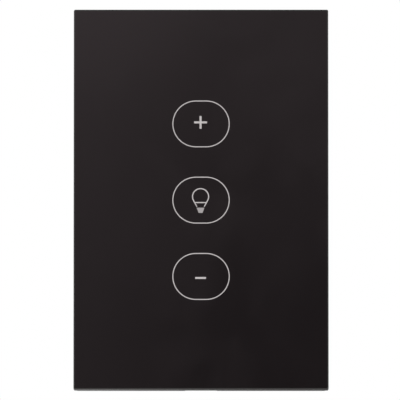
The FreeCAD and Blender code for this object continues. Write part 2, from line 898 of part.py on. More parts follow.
def make_board_screws():
    """The four screws that hold the touch board to the frame."""
    screws = []
    for across, up in standoff_places:
        screw = make_screw("BoardScrew", d.small_screw_diameter, d.small_screw_length,
                           d.small_screw_head, d.small_screw_head_height)
        screws.append(place(screw, (across, touch_back, up), FACE_WALL))
    name_piece(group("BoardScrews", screws), "board_screws")


def make_wifi_module():
    """The radio's own small board, with its printed antenna at the top."""
    up = centred(d.wifi_raise, d.wifi_height)
    board = block("WifiModule", centred(0, d.wifi_width),
                  (touch_back, touch_back + d.wifi_thickness), up)
    name_piece(board, "wifi_module")
    front = touch_back + d.wifi_thickness
    half_width = d.wifi_width / 2 - d.shield_margin
    low = up[0] + d.shield_margin
    high = up[1] - d.antenna_length
    body = new_body("wifi_shield")
    outline = Outline(body, "Y", front)
    outline.rectangle(-half_width, half_width, low, high)
    outline.pad(d.shield_height)
    outline = Outline(body, "Y", front)
    outline.rectangle(d.shield_sheet - half_width, half_width - d.shield_sheet,
                      low + d.shield_sheet, high - d.shield_sheet)
    outline.pocket(d.shield_height - d.shield_sheet)


def make_chip(label, length, width, height, pitch, pairs, position, turn):
    """A moulded chip with gull-wing leads, standing on its own zero height."""
    body = new_body(label)
    sheet = d.chip_lead_thickness
    outline = Outline(body, "Z", sheet / 2)
    outline.rectangle(*centred(0, length), *centred(0, width))
    outline.pad(height - sheet / 2)
    middle = height / 2
    knee = width / 2 + d.chip_shoulder
    first = -pitch * (pairs - 1) / 2 - d.chip_lead_width / 2
    leads = []
    for side in SIDES:
        profile = ((width / 2 - sheet, middle), (knee - sheet, middle), (knee - sheet, 0),
                   (knee + d.chip_foot, 0), (knee + d.chip_foot, sheet), (knee, sheet),
                   (knee, middle + sheet), (width / 2 - sheet, middle + sheet))
        outline = Outline(body, "X", first)
        outline.polygon([(side * across, up) for across, up in profile])
        leads.append(outline.pad(d.chip_lead_width))
    doc.recompute()
    row = body.newObject("PartDesign::LinearPattern", body.Name + "Leads")
    row.Originals = leads
    axes = [item for item in body.Origin.OriginFeatures if item.Role == "X_Axis"]
    row.Direction = (axes[0], [""])
    row.Occurrences = pairs
    bind(row, "Length", pitch * (pairs - 1))
    body.Tip = row
    place(body, position, turn)


def make_board_socket():
    """The socket on the touch board that takes the pins of the power board."""
    body = new_body("board_socket")
    outline = Outline(body, "Y", touch_back)
    half_length = d.pin_pitch * PIN_COUNT / 2
    low, high = centred(header_middle, d.header_depth)
    outline.rectangle(-half_length, half_length, low, high)
    outline.pad(d.socket_height)
    hole = d.pin_width + 2 * d.pin_fit
    end = touch_back + d.socket_height
    outline = Outline(body, "Y", end - d.pin_depth - d.pin_fit)
    for across in pin_places():
        outline.rectangle(*centred(across, hole), *centred(header_middle, hole))
    outline.pocket(d.pin_depth + d.pin_fit)


def pin_places():
    """The pins' places across, about the middle."""
    return [d.pin_pitch * (step - (PIN_COUNT - 1) / 2) for step in range(PIN_COUNT)]


def make_pin_header():
    """The pins that join the two boards, and the strip that holds them."""
    body = new_body("pin_header")
    half_length = d.pin_pitch * PIN_COUNT / 2
    outline = Outline(body, "Y", power_front - d.header_height)
    low, high = centred(header_middle, d.header_depth)
    outline.rectangle(-half_length, half_length, low, high)
    for across in pin_places():
        outline.rectangle(*centred(across, d.pin_width), *centred(header_middle, d.pin_width))
    outline.pad(d.header_height)
    pin_start = touch_back + d.socket_height - d.pin_depth
    pins = [block("HeaderPin", centred(across, d.pin_width), (pin_start, power_front),
                  centred(header_middle, d.pin_width)) for across in pin_places()]
    name_piece(group("HeaderPins", pins), "header_pins")


def make_rear_housing():
    """The moulded housing: mounting flange, peg bosses and the box behind the wall."""
    body = new_body("rear_housing")
    outline = Outline(body, "Y", flange_front)
    outline.frame_rectangle(flange_half_width, flange_half_height, d.flange_corner)
    outline.pad(d.flange_thickness)
    outline = Outline(body, "Y", wall_plane)
    outline.frame_rectangle(box_half_width, box_half_height, box_corner)
    outline.pad(shallow_outer - wall_plane)
    outline = Outline(body, "Y", shallow_inner)
    outline.rounded_rectangle(-box_half_width, box_half_width, step_start, box_half_height,
                              box_corner)
    outline.pad(deep_outer - shallow_inner)
    outline = Outline(body, "Y", boss_front)
    outline.circles(peg_places, d.peg_diameter / 2 + d.peg_fit + d.peg_boss_wall)
    outline.pad(d.peg_boss_height)
    hollow_housing(body)
    make_posts(body)
    open_housing(body)


def hollow_housing(body):
    """Empty the box, in its shallow and its deep part."""
    outline = Outline(body, "Y", flange_front)
    outline.frame_rectangle(inner_half_width, inner_half_height, d.box_inner_corner)
    outline.pocket(shallow_inner - flange_front)
    outline = Outline(body, "Y", shallow_inner)
    outline.rounded_rectangle(-inner_half_width, inner_half_width, step_end, inner_half_height,
                              d.box_inner_corner)
    outline.pocket(deep_inner - shallow_inner)


def make_posts(body):
    """Stand the four screw posts in the box, each as tall as its part of the box."""
    for places, inner in ((lower_posts, shallow_inner), (upper_posts, deep_inner)):
        outline = Outline(body, "Y", power_back)
        outline.circles(places, d.post_diameter / 2)
        outline.pad(inner - power_back)
    outline = Outline(body, "Y", power_back)
    outline.circles(post_places, d.cover_screw_diameter / 2 + d.thread_gap)
    outline.pocket(cover_front + d.cover_screw_length - power_back)


def open_housing(body):
    """Cut the holes for pegs, mounting screws, wires, screwdriver and air."""
    outline = Outline(body, "Y", boss_front)
    outline.circles(peg_places, d.peg_diameter / 2 + d.peg_fit)
    outline.pocket(wall_plane - boss_front)
    outline = Outline(body, "Y", flange_front)
    half_slot = (d.slot_length - d.slot_width) / 2
    for end in SIDES:
        middle = end * d.screw_spacing / 2
        outline.slot((0, middle - half_slot), (0, middle + half_slot), d.slot_width / 2)
    outline.pocket(d.flange_thickness)
    outline = Outline(body, "Z", -box_half_height)
    outline.circles([(middle, wire_middle) for middle in pole_middles.values()],
                    d.wire_window_diameter / 2)
    outline.pocket(d.box_wall)
    outline = Outline(body, "Y", shallow_inner)
    outline.circles([(middle, terminal_axis) for middle in pole_middles.values()],
                    d.driver_hole_diameter / 2)
    outline.pocket(d.box_wall)
    outline = Outline(body, "Y", deep_inner)
    vent_middle = (step_end + inner_half_height) / 2
    half_vent = (d.vent_length - d.vent_width) / 2
    for step in range(VENT_COUNT):
        across = d.vent_pitch * (step - (VENT_COUNT - 1) / 2)
        outline.slot((across, vent_middle - half_vent), (across, vent_middle + half_vent),
                     d.vent_width / 2)
    outline.pocket(d.box_wall)


def make_inner_cover():
    """The cover that closes the box behind the touch board."""
    body = new_body("inner_cover")
    outline = Outline(body, "Y", cover_front)
    outline.frame_rectangle(power_half_width, power_half_height, d.box_inner_corner)
    gap = d.header_slot_gap
    half_length = d.pin_pitch * PIN_COUNT / 2 + gap
    low, high = centred(header_middle, d.header_depth + 2 * gap)
    outline.rectangle(-half_length, half_length, low, high)
    outline.pad(d.cover_thickness)
    outline = Outline(body, "Y", cover_back)
    outline.circles(post_places, d.cover_boss_diameter / 2)
    outline.pad(d.cover_boss_height)
    outline = Outline(body, "Y", cover_front)
    outline.circles(post_places, d.cover_screw_diameter / 2 + d.screw_hole_gap)
    outline.pocket(power_front - cover_front)


def make_power_board():
    """The mains board, clamped between the cover's bosses and the housing's posts."""
    body = new_body("power_board")
    outline = Outline(body, "Y", power_front)
    outline.frame_rectangle(power_half_width, power_half_height, d.box_inner_corner)
    outline.circles(post_places, d.cover_screw_diameter / 2 + d.screw_hole_gap)
    outline.pad(d.power_board_thickness)


def make_cover_screws():
    """The four screws through the cover and the board into the posts."""
    screws = []
    for across, up in post_places:
        screw = make_screw("CoverScrew", d.cover_screw_diameter, d.cover_screw_length,
                           d.cover_screw_head, d.cover_screw_head_height)
        screws.append(place(screw, (across, cover_front, up), FACE_ROOM))
    name_piece(group("CoverScrews", screws), "cover_screws")


def make_terminal_block():
    """The moulded block with a chamber, a screw well and a wire hole for each pole."""
    body = new_body("terminal_block")
    half_chamber = d.cage_width / 2 + d.cage_gap
    half_block = d.pole_pitch + half_chamber + d.block_side_wall
    outline = Outline(body, "Y", power_back)
    outline.rectangle(-half_block, half_block, block_low, block_top)
    outline.pad(block_high - power_back)
    outline = Outline(body, "Y", power_back)
    for middle in pole_middles.values():
        outline.rectangle(middle - half_chamber, middle + half_chamber, chamber_low, chamber_high)
    outline.pocket(ledge_low - power_back)
    axes = [(middle, terminal_axis) for middle in pole_middles.values()]
    outline = Outline(body, "Y", ledge_low)
    outline.circles(axes, d.terminal_screw_diameter / 2 + d.terminal_screw_fit)
    outline.pocket(d.block_ledge)
    outline = Outline(body, "Y", ledge_high)
    outline.circles(axes, d.terminal_head_diameter / 2 + d.terminal_head_gap)
    outline.pocket(d.block_well_depth)
    outline = Outline(body, "Z", block_low)
    outline.circles([(middle, wire_middle) for middle in pole_middles.values()],
                    d.wire_bore_diameter / 2)
    outline.pocket(d.block_wire_wall)
    outline = Outline(body, "Y", power_back)
    outline.circles(lower_posts, d.post_diameter / 2 + d.block_post_gap)
    outline.relieve(block_high - power_back)


def make_terminal_contact(pole):
    """The fixed bar that the wire is pressed against, bent down to the board."""
    body = new_body(f"terminal_contact_{pole}")
    outline = Outline(body, "X", pole_middles[pole] - d.contact_width / 2)
    outline.polygon(((contact_low, cage_start), (contact_high, cage_start),
                     (contact_high, leg_end), (power_back, leg_end),
                     (power_back, leg_start), (contact_low, leg_start)))
    outline.pad(d.contact_width)


def make_terminal_cage(pole):
    """The clamp cage, whose threaded end climbs the screw and lifts the wire to the bar."""
    body = new_body(f"terminal_cage_{pole}")
    left, right = centred(pole_middles[pole], d.cage_width)
    outline = Outline(body, "Z", cage_start)
    outline.rectangle(left, right, cage_low, cage_high)
    outline.rectangle(left + d.cage_wall, right - d.cage_wall, wire_low, nut_low)
    outline.pad(d.cage_length)
    outline = Outline(body, "Y", nut_low)
    outline.circle(pole_middles[pole], terminal_axis,
                   d.terminal_screw_diameter / 2 + d.terminal_thread_fit)
    outline.pocket(d.cage_nut_thickness)


def make_terminal_screw(pole):
    """The clamp screw, which turns in the block with its head on the ledge."""
    body = new_body(f"terminal_screw_{pole}")
    radius = d.terminal_screw_diameter / 2
    head = d.terminal_head_diameter / 2
    tip = contact_high + d.terminal_screw_tip_gap - ledge_high
    outline = Outline(body, "Y", 0)
    outline.polygon(((0, tip), (radius, tip), (radius, 0), (head, 0),
                     (head, d.terminal_head_height), (0, d.terminal_head_height)))
    outline.revolve()
    outline = Outline(body, "Z", d.terminal_head_height - d.terminal_slot_depth)
    outline.rectangle(-head, head, *centred(0, d.terminal_slot_width))
    outline.pocket(d.terminal_slot_depth)
    place(body, (pole_middles[pole], ledge_high, terminal_axis), FACE_WALL)


def make_heat_sink():
    """The bent aluminium plate that the triac is screwed to."""
    body = new_body("heat_sink")
    high = deep_inner - d.sink_rear_gap
    outline = Outline(body, "X", -d.sink_width / 2)
    outline.polygon(((power_back, sink_start), (power_back, sink_end),
                     (high - d.sink_thickness, sink_end),
                     (high - d.sink_thickness, sink_start + d.sink_lip),
                     (high, sink_start + d.sink_lip), (high, sink_start)))
    outline.pad(d.sink_width)
    outline = Outline(body, "Z", sink_start)
    outline.circle(0, triac_hole_height(), d.sink_screw_diameter / 2 + d.thread_gap)
    outline.pocket(d.sink_thickness)


def triac_top():
    """The far end of the triac's metal tab, along Y."""
    return power_back + d.triac_lead_length + d.triac_body_height + d.triac_tab_height


def triac_hole_height():
    """The place along Y of the hole in the triac's tab."""
    return triac_top() - d.triac_hole_drop


def make_triac():
    """The dimming triac: a moulded body on a metal tab, with three leads."""
    across = centred(0, d.triac_width)
    body_start = power_back + d.triac_lead_length
    tab = block("TriacTab", across, (body_start, triac_top()), (pad_end, tab_end))
    body_end = body_start + d.triac_body_height
    moulding = block("TriacBody", across, (body_start, body_end), (pad_end, triac_end))
    lead_middle = (pad_end + triac_end) / 2
    leads = [block("TriacLead", centred(step * d.triac_lead_pitch, d.triac_lead_width),
                   (power_back, body_start), centred(lead_middle, d.triac_lead_thickness))
             for step in (-1, 0, 1)]
    hole = rod("TriacHole", (0, triac_hole_height(), pad_end), d.triac_hole_diameter / 2,
               d.triac_tab_thickness)
    whole = fuse("TriacWhole", [tab, moulding] + leads)
    name_piece(cut("Triac", whole, hole), "triac")


def make_insulating_pad():
    """The thin pad between the triac and the heat sink."""
    half_width = d.triac_width / 2 + d.pad_margin
    body = new_body("insulating_pad")
    outline = Outline(body, "Z", sink_end)
    outline.rectangle(-half_width, half_width, power_back + d.triac_lead_length - d.pad_margin,
                      triac_top())
    outline.circle(0, triac_hole_height(), d.sink_screw_diameter / 2 + d.screw_hole_gap)
    outline.pad(d.pad_thickness)


def make_heat_sink_screw():
    """The screw that clamps the triac to the heat sink."""
    screw = make_screw("HeatSinkScrew", d.sink_screw_diameter, tab_end - sink_start,
                       d.sink_screw_head, d.sink_screw_head_height)
    name_piece(place(screw, (0, triac_hole_height(), tab_end)), "heat_sink_screw")


def make_film_capacitor():
    """The boxed film capacitor across the mains."""
    body = new_body("film_capacitor")
    left = d.board_gap + d.part_gap - inner_half_width
    outline = Outline(body, "Y", power_back)
    outline.rectangle(left, left + d.film_length, filter_row, film_end)
    outline.pad(d.film_height)
    round_edges(body, "Y", d.film_edge)


def make_choke():
    """The ring choke: its iron powder core, and its winding as one sleeve."""
    across = inner_half_width - d.board_gap - d.part_gap - choke_radius
    position = (across, power_back + d.choke_layer, choke_middle)
    outer = d.choke_outer_diameter / 2
    inner = d.choke_inner_diameter / 2
    body = new_body("choke_core")
    outline = Outline(body, "Y", 0)
    outline.rectangle(inner, outer, 0, d.choke_core_height)
    outline.revolve()
    place(body, position, FACE_WALL)
    body = new_body("choke_winding")
    outline = Outline(body, "Y", 0)
    outline.rectangle(inner - d.choke_layer, outer + d.choke_layer,
                      -d.choke_layer, d.choke_core_height + d.choke_layer)
    outline.rectangle(inner, outer, 0, d.choke_core_height)
    outline.revolve(d.choke_winding_angle)
    place(body, position, FACE_WALL)


def make_can(label, diameter, height, across, up):
    """An electrolytic capacitor: a can with a groove rolled in near its foot."""
    body = new_body(label)
    radius = diameter / 2
    groove = d.can_groove_rise
    outline = Outline(body, "Y", 0)
    outline.polygon(((0, 0), (radius - d.can_edge, 0), (radius, d.can_edge), (radius, groove),
                     (radius - d.can_groove_depth, groove + d.can_groove_height / 2),
                     (radius, groove + d.can_groove_height), (radius, height - d.can_edge),
                     (radius - d.can_edge, height), (0, height)))
    outline.revolve()
    place(body, (across, power_back, up), FACE_WALL)


def make_cans():
    """The two electrolytic capacitors of the supply."""
    left = d.board_gap + d.part_gap - inner_half_width
    bulk_across = left + d.bulk_diameter / 2
    make_can("bulk_capacitor", d.bulk_diameter, d.bulk_height, bulk_across, bulk_middle)
    filter_across = left + d.bulk_diameter + d.part_gap + d.filter_diameter / 2
    make_can("filter_capacitor", d.filter_diameter, d.filter_height, filter_across, bulk_middle)


def make_fuse():
    """The round fuse in the line."""
    body = new_body("fuse")
    radius = d.fuse_diameter / 2
    outline = Outline(body, "Y", 0)
    outline.polygon(((0, 0), (radius, 0), (radius, d.fuse_height - d.fuse_edge),
                     (radius - d.fuse_edge, d.fuse_height), (0, d.fuse_height)))
    outline.revolve()
    across = d.board_gap + d.part_gap - inner_half_width + radius
    place(body, (across, power_back, fuse_middle), FACE_WALL)


def make_varistor():
    """The surge absorber, a disc that stands on two wires."""
    left = d.board_gap + d.part_gap - inner_half_width + d.fuse_diameter + d.part_gap
    across = left + d.varistor_diameter / 2
    foot = power_back + d.varistor_lead_length
    radius = d.varistor_diameter / 2
    disc = rod("VaristorDisc", (across, foot + radius, fuse_middle - d.varistor_thickness / 2),
               radius, d.varistor_thickness)
    leads = [rod("VaristorLead", (across + side * d.varistor_lead_pitch / 2, power_back,
                                  fuse_middle), d.wire_lead / 2,
                 d.varistor_lead_length + radius, FACE_WALL) for side in SIDES]
    name_piece(fuse("Varistor", [disc] + leads), "varistor")


def make_transformer():
    """The small transformer: ferrite core, taped coil and moulded base."""
    across = inner_half_width - d.board_gap - d.part_gap - d.transformer_width / 2
    left = across - d.transformer_width / 2
    right = across + d.transformer_width / 2
    low = power_back + d.transformer_base_height
    high = low + d.transformer_height
    yoke = d.transformer_yoke
    body = new_body("transformer_core")
    outline = Outline(body, "Z", transformer_middle - d.transformer_depth / 2)
    outline.rectangle(left, right, low, high)
    outline.rectangle(left + yoke, across - yoke, low + yoke, high - yoke)
    outline.rectangle(across + yoke, right - yoke, low + yoke, high - yoke)
    outline.pad(d.transformer_depth)
    gap = d.transformer_coil_gap
    body = new_body("transformer_winding")
    outline = Outline(body, "Y", low + yoke + gap)
    outline.rectangle(left + yoke + gap, right - yoke - gap,
                      *centred(transformer_middle, d.transformer_coil_depth))
    outline.rectangle(across - yoke - gap, across + yoke + gap,
                      *centred(transformer_middle, d.transformer_depth + 2 * gap))
    outline.pad(high - low - 2 * (yoke + gap))
    body = new_body("transformer_base")
    outline = Outline(body, "Y", power_back)
    outline.rectangle(left, right, *centred(transformer_middle, d.transformer_coil_depth))
    outline.pad(d.transformer_base_height)


def make_power_chips():
    """The rectifier, the regulator and the optocoupler of the triac's control."""
    rectifier_across = d.board_gap + d.part_gap - inner_half_width + d.bulk_diameter
    make_chip("bridge_rectifier", d.rectifier_length, d.rectifier_width, d.rectifier_height,
              d.wide_chip_pitch, 2, (rectifier_across, power_back, chip_row), FACE_WALL)
    make_chip("regulator_ic", d.regulator_length, d.regulator_width, d.regulator_height,
              d.touch_chip_pitch, 4, (0, power_back, chip_row), FACE_WALL)
    make_chip("optocoupler", d.optocoupler_length, d.optocoupler_width, d.optocoupler_height,
              d.wide_chip_pitch, 2, (0, power_back, bulk_middle), FACE_WALL)


def make_touch_chip():
    """The controller that reads the three touch springs."""
    make_chip("touch_ic", d.touch_chip_length, d.touch_chip_width, d.touch_chip_height,
              d.touch_chip_pitch, 8, (0, touch_back, -d.touch_chip_drop), FACE_WALL)


def build():
    """Make every piece."""
    make_glass_panel()
    make_key_mark_plus()
    make_key_mark_on_off()
    make_key_mark_minus()
    make_adhesive_tape()
    make_front_frame()
    make_touch_board()
    for key in KEYS:
        make_touch_spring(key)
        make_light_cup(key)
        make_led(key)
    make_board_screws()
    make_wifi_module()
    make_touch_chip()
    make_board_socket()
    make_pin_header()
    make_rear_housing()
    make_inner_cover()
    make_power_board()
    make_cover_screws()
    make_terminal_block()
    for pole in POLES:
        make_terminal_contact(pole)
        make_terminal_cage(pole)
        make_terminal_screw(pole)
    make_heat_sink()
    make_triac()
    make_insulating_pad()
    make_heat_sink_screw()
    make_film_capacitor()
    make_choke()
    make_cans()
    make_fuse()
    make_varistor()
    make_transformer()
    make_power_chips()


def check():
    """Stop if any object failed, or if a piece has no sound shape."""
    doc.recompute()
    for item in doc.Objects:
        if "Invalid" in item.State or "Error" in item.State:
            raise RuntimeError(f"{item.Label} failed: {item.State}")
    for piece in pieces:
        if piece.Shape.isNull() or not piece.Shape.isValid() or not piece.Shape.Solids:
            raise RuntimeError(f"{piece.Label} has no valid solid")


def write():
    """Write each piece to its own file."""
    os.makedirs("parts", exist_ok=True)
    for piece in pieces:
        piece.Shape.exportStep(f"parts/{piece.Label}.step")
        solids = len(piece.Shape.Solids)
        print(f"{piece.Label}: {solids} solid(s), {piece.Shape.Volume:.2f} mm3")


build()
check()
write()
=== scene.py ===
"""The looks of a smart dimmer switch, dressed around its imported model.

A black glass touch plate stands on a moulded frame, in front of a housing that holds the mains
electronics and the clamp terminals. X is to the right, Z is up and Y goes into the wall.
"""
from __future__ import annotations

import json
import logging
import math
from dataclasses import dataclass
from enum import Enum

import bmesh
import bpy
import numpy as np
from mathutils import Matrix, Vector

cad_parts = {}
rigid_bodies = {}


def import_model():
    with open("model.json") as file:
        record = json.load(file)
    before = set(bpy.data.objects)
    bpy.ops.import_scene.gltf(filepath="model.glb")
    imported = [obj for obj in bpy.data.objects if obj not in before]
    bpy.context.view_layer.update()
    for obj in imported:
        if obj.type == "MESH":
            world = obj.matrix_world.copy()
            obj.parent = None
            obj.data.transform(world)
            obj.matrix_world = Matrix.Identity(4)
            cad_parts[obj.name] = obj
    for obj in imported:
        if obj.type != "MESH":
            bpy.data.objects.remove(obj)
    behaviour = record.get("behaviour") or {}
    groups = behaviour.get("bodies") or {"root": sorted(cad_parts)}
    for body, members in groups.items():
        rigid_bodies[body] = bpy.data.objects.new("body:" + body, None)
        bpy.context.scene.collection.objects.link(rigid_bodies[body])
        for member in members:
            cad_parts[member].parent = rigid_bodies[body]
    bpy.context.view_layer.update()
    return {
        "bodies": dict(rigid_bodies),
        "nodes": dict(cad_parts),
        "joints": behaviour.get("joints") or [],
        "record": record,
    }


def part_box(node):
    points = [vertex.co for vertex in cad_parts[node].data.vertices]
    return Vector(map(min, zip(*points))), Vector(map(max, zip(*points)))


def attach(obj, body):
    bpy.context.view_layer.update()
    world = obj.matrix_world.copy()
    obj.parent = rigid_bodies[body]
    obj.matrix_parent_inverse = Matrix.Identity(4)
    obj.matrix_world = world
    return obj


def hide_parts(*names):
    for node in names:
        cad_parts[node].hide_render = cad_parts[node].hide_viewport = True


log = logging.getLogger("dimmer_switch")

MM = 0.001
KEYS = ("plus", "on_off", "minus")
POLES = ("line", "neutral", "load")
TO_WALL = (0.0, 1.0, 0.0)
# Points of a track nearer than the first are one, and so are vertices nearer than the second.
SAME_PLACE = 1e-7
SAME_VERTEX = 1e-8
# How much of a track's shorter way goes at 45 degrees.
SLANT_SHARE = 0.6
Settings = dict[str | int, object]


class Axis(Enum):
    """A direction of the shared frame, by the number of its coordinate."""

    ACROSS = 0
    INTO_WALL = 1
    UP = 2


def linear(colour: str) -> tuple[float, float, float, float]:
    """Turn an sRGB hex value into linear light.

    Args:
        colour: the value as "#rrggbb".

    Returns:
        Red, green, blue and an alpha of 1.
    """
    shares = np.array([int(colour[start:start + 2], 16) for start in (1, 3, 5)]) / 255
    light = np.where(shares <= 0.04045, shares / 12.92, ((shares + 0.055) / 1.055) ** 2.4)
    return (*light.tolist(), 1.0)


def per_mm(size: float) -> float:
    """The scale at which a texture in metres repeats about every so many millimetres."""
    return 1 / (size * MM)


def add_node(tree: bpy.types.NodeTree, kind: str, settings: Settings | None = None,
             links: dict[str | int, bpy.types.NodeSocket] | None = None) -> bpy.types.Node:
    """Add a node with its settings and its links.

    Args:
        tree: the node tree it goes into.
        kind: the node's type name.
        settings: its own options by name, and values of its inputs by name or number.
        links: the sockets that feed its inputs.

    Returns:
        The new node.
    """
    node = tree.nodes.new(kind)
    for key, value in (settings or {}).items():
        if isinstance(key, str) and key in node.bl_rna.properties:
            setattr(node, key, value)
        else:
            node.inputs[key].default_value = value
    for key, socket in (links or {}).items():
        tree.links.new(socket, node.inputs[key])
    return node


@dataclass(frozen=True)
class Skin:
    """What a surface is made of: its sRGB colour, how rough it is and how metallic."""

    colour: str
    roughness: float
    metallic: float = 0.0

    def values(self) -> dict[str, object]:
        """The skin as values of the shader's inputs."""
        return {"Base Color": linear(self.colour), "Metallic": self.metallic,
                "Roughness": self.roughness}


@dataclass
class Paint:
    """A material in the making: its tree, its shader, the object's own place, and its skin."""

    tree: bpy.types.NodeTree
    shader: bpy.types.Node
    place: bpy.types.NodeSocket
    values: dict[str, object]

    def cover(self, share: bpy.types.NodeSocket, skin: Skin) -> None:
        """Lay another skin over the one that is there.

        Args:
            share: how much of the new skin shows, from 0 to 1.
            skin: the new skin.
        """
        for name, value in skin.values().items():
            old = self.values[name]
            if not isinstance(old, bpy.types.NodeSocket) and old == value:
                continue
            coloured = name == "Base Color"
            low, high, out = (6, 7, 2) if coloured else (2, 3, 0)
            settings = {"data_type": "RGBA" if coloured else "FLOAT", high: value}
            links = {0: share}
            if isinstance(old, bpy.types.NodeSocket):
                links[low] = old
            else:
                settings[low] = old
            mixed = add_node(self.tree, "ShaderNodeMix", settings, links).outputs[out]
            self.values[name] = mixed
            self.tree.links.new(mixed, self.shader.inputs[name])

    def emboss(self, height: bpy.types.NodeSocket, depth_mm: float) -> None:
        """Press a height into the surface, over any that is there.

        Args:
            height: the height, from 0 to 1.
            depth_mm: how deep a height of 1 is, in millimetres.
        """
        links = {"Height": height}
        if "Normal" in self.values:
            links["Normal"] = self.values["Normal"]
        bump = add_node(self.tree, "ShaderNodeBump", {"Distance": depth_mm * MM}, links)
        self.values["Normal"] = bump.outputs[0]
        self.tree.links.new(bump.outputs[0], self.shader.inputs["Normal"])

    def inside(self, area: Area) -> bpy.types.NodeSocket:
        """Find where an area lies.

        Its box is centred on the origin, the axes are made positive, and the largest of the
        three distances past the sides is below zero inside the box.

        Args:
            area: the area.

        Returns:
            1 where it lies and 0 elsewhere.
        """
        tree = self.tree
        middle, half = (area.low + area.high) / 2, (area.high - area.low) / 2
        moved = add_node(tree, "ShaderNodeVectorMath", {"operation": "SUBTRACT", 1: middle},
                         {0: self.place})
        folded = add_node(tree, "ShaderNodeVectorMath", {"operation": "ABSOLUTE"},
                          {0: moved.outputs[0]})
        past = add_node(tree, "ShaderNodeVectorMath", {"operation": "SUBTRACT", 1: half},
                        {0: folded.outputs[0]})
        parts = add_node(tree, "ShaderNodeSeparateXYZ", links={0: past.outputs[0]}).outputs
        pair = add_node(tree, "ShaderNodeMath", {"operation": "MAXIMUM"},
                        {0: parts[0], 1: parts[1]})
        worst = add_node(tree, "ShaderNodeMath", {"operation": "MAXIMUM"},
                         {0: pair.outputs[0], 1: parts[2]})
        test = "GREATER_THAN" if area.outside else "LESS_THAN"
        return add_node(tree, "ShaderNodeMath", {"operation": test, 1: 0.0},
                        {0: worst.outputs[0]}).outputs[0]


@dataclass(frozen=True)
class Area:
    """A box inside which, or outside which, a surface has another skin."""

    skin: Skin
    low: Vector
    high: Vector
    outside: bool = False


@dataclass(frozen=True)
class Finish:
    """A finish in one material, whose kinds below say how its surface was made."""

    name: str
    skin: Skin
    ior: float = 1.5
    area: Area | None = None

    def material(self) -> bpy.types.Material:
        """Make the material.

        Returns:
            A material whose constant values sit on the shader and whose detail is in nodes.
        """
        made = bpy.data.materials.new(self.name)
        made.use_nodes = True
        tree = made.node_tree
        tree.nodes.clear()
        values = self.skin.values()
        shader = add_node(tree, "ShaderNodeBsdfPrincipled", {**values, "IOR": self.ior})
        add_node(tree, "ShaderNodeOutputMaterial", links={"Surface": shader.outputs[0]})
        place = add_node(tree, "ShaderNodeTexCoord").outputs["Object"]
        paint = Paint(tree, shader, place, values)
        self.detail(paint)
        if self.area:
            paint.cover(paint.inside(self.area), self.area.skin)
        return made

    def detail(self, paint: Paint) -> None:
        """Add what varies over the surface; a plain finish has nothing."""

    def dress(self, *pieces: bpy.types.Object) -> None:
        """Give this finish to pieces as their only material."""
        made = self.material()
        for piece in pieces:
            piece.data.materials.clear()
            piece.data.materials.append(made)


@dataclass(frozen=True)
class PrintedGlass(Finish):
    """Float glass, back-printed black and polished: a deep black with a faint warm mirror.

    Its ground edge, an area of its own, is duller and shows the glass's green.
    """

    tint: tuple[float, float, float, float] = (1.0, 0.84, 0.88, 1.0)
    wipe_mm: float = 34.0
    smear: Skin = Skin("#120f10", 0.075)

    def detail(self, paint: Paint) -> None:
        """Wipe marks of a cloth in the gloss."""
        paint.shader.inputs["Specular Tint"].default_value = self.tint
        wiped = add_node(paint.tree, "ShaderNodeTexNoise",
                         {"Scale": per_mm(self.wipe_mm), "Detail": 3.0, "Distortion": 0.6},
                         {"Vector": paint.place})
        share = add_node(paint.tree, "ShaderNodeMapRange", {"From Min": 0.42, "From Max": 0.7},
                         {"Value": wiped.outputs[0]})
        paint.cover(share.outputs[0], self.smear)


@dataclass(frozen=True)
class ScreenPrint(Finish):
    """Fired ceramic ink, screen printed: an even light grey with the mesh's fine grain."""

    mesh_mm: float = 0.3
    thin: Skin = Skin("#a6a1a2", 0.42)

    def detail(self, paint: Paint) -> None:
        """The grain that the printing mesh leaves."""
        grain = add_node(paint.tree, "ShaderNodeTexNoise",
                         {"Scale": per_mm(self.mesh_mm), "Detail": 2.0}, {"Vector": paint.place})
        paint.cover(grain.outputs[0], self.thin)
        paint.emboss(grain.outputs[0], 0.004)


@dataclass(frozen=True)
class FoamTape(Finish):
    """Closed-cell acrylic foam: dull black, with its cells open along the cut edge."""

    cell_mm: float = 0.25
    light: Skin = Skin("#232222", 0.95)

    def detail(self, paint: Paint) -> None:
        """Round cells that are lighter inside."""
        cells = add_node(paint.tree, "ShaderNodeTexVoronoi", {"Scale": per_mm(self.cell_mm)},
                         {"Vector": paint.place})
        paint.cover(cells.outputs["Distance"], self.light)
        paint.emboss(cells.outputs["Distance"], 0.06)


@dataclass(frozen=True)
class MouldedPlastic(Finish):
    """Injection moulded plastic from a spark-eroded tool: a fine even grain, a satin shine."""

    grain_mm: float = 0.28
    grain_depth: float = 0.02
    flow: Skin = Skin("#808080", 0.5)
    flow_mm: float = 17.0
    flow_share: float = 0.5

    def detail(self, paint: Paint) -> None:
        """The tool's grain, and the slow change of colour where the melt flowed."""
        tree = paint.tree
        flow = add_node(tree, "ShaderNodeTexNoise",
                        {"Scale": per_mm(self.flow_mm), "Detail": 4.0, "Distortion": 0.8},
                        {"Vector": paint.place})
        share = add_node(tree, "ShaderNodeMapRange",
                         {"From Min": 0.35, "From Max": 0.7, "To Max": self.flow_share},
                         {"Value": flow.outputs[0]})
        paint.cover(share.outputs[0], self.flow)
        grain = add_node(tree, "ShaderNodeTexNoise",
                         {"Scale": per_mm(self.grain_mm), "Detail": 3.0, "Roughness": 0.6},
                         {"Vector": paint.place})
        paint.emboss(grain.outputs[0], self.grain_depth)


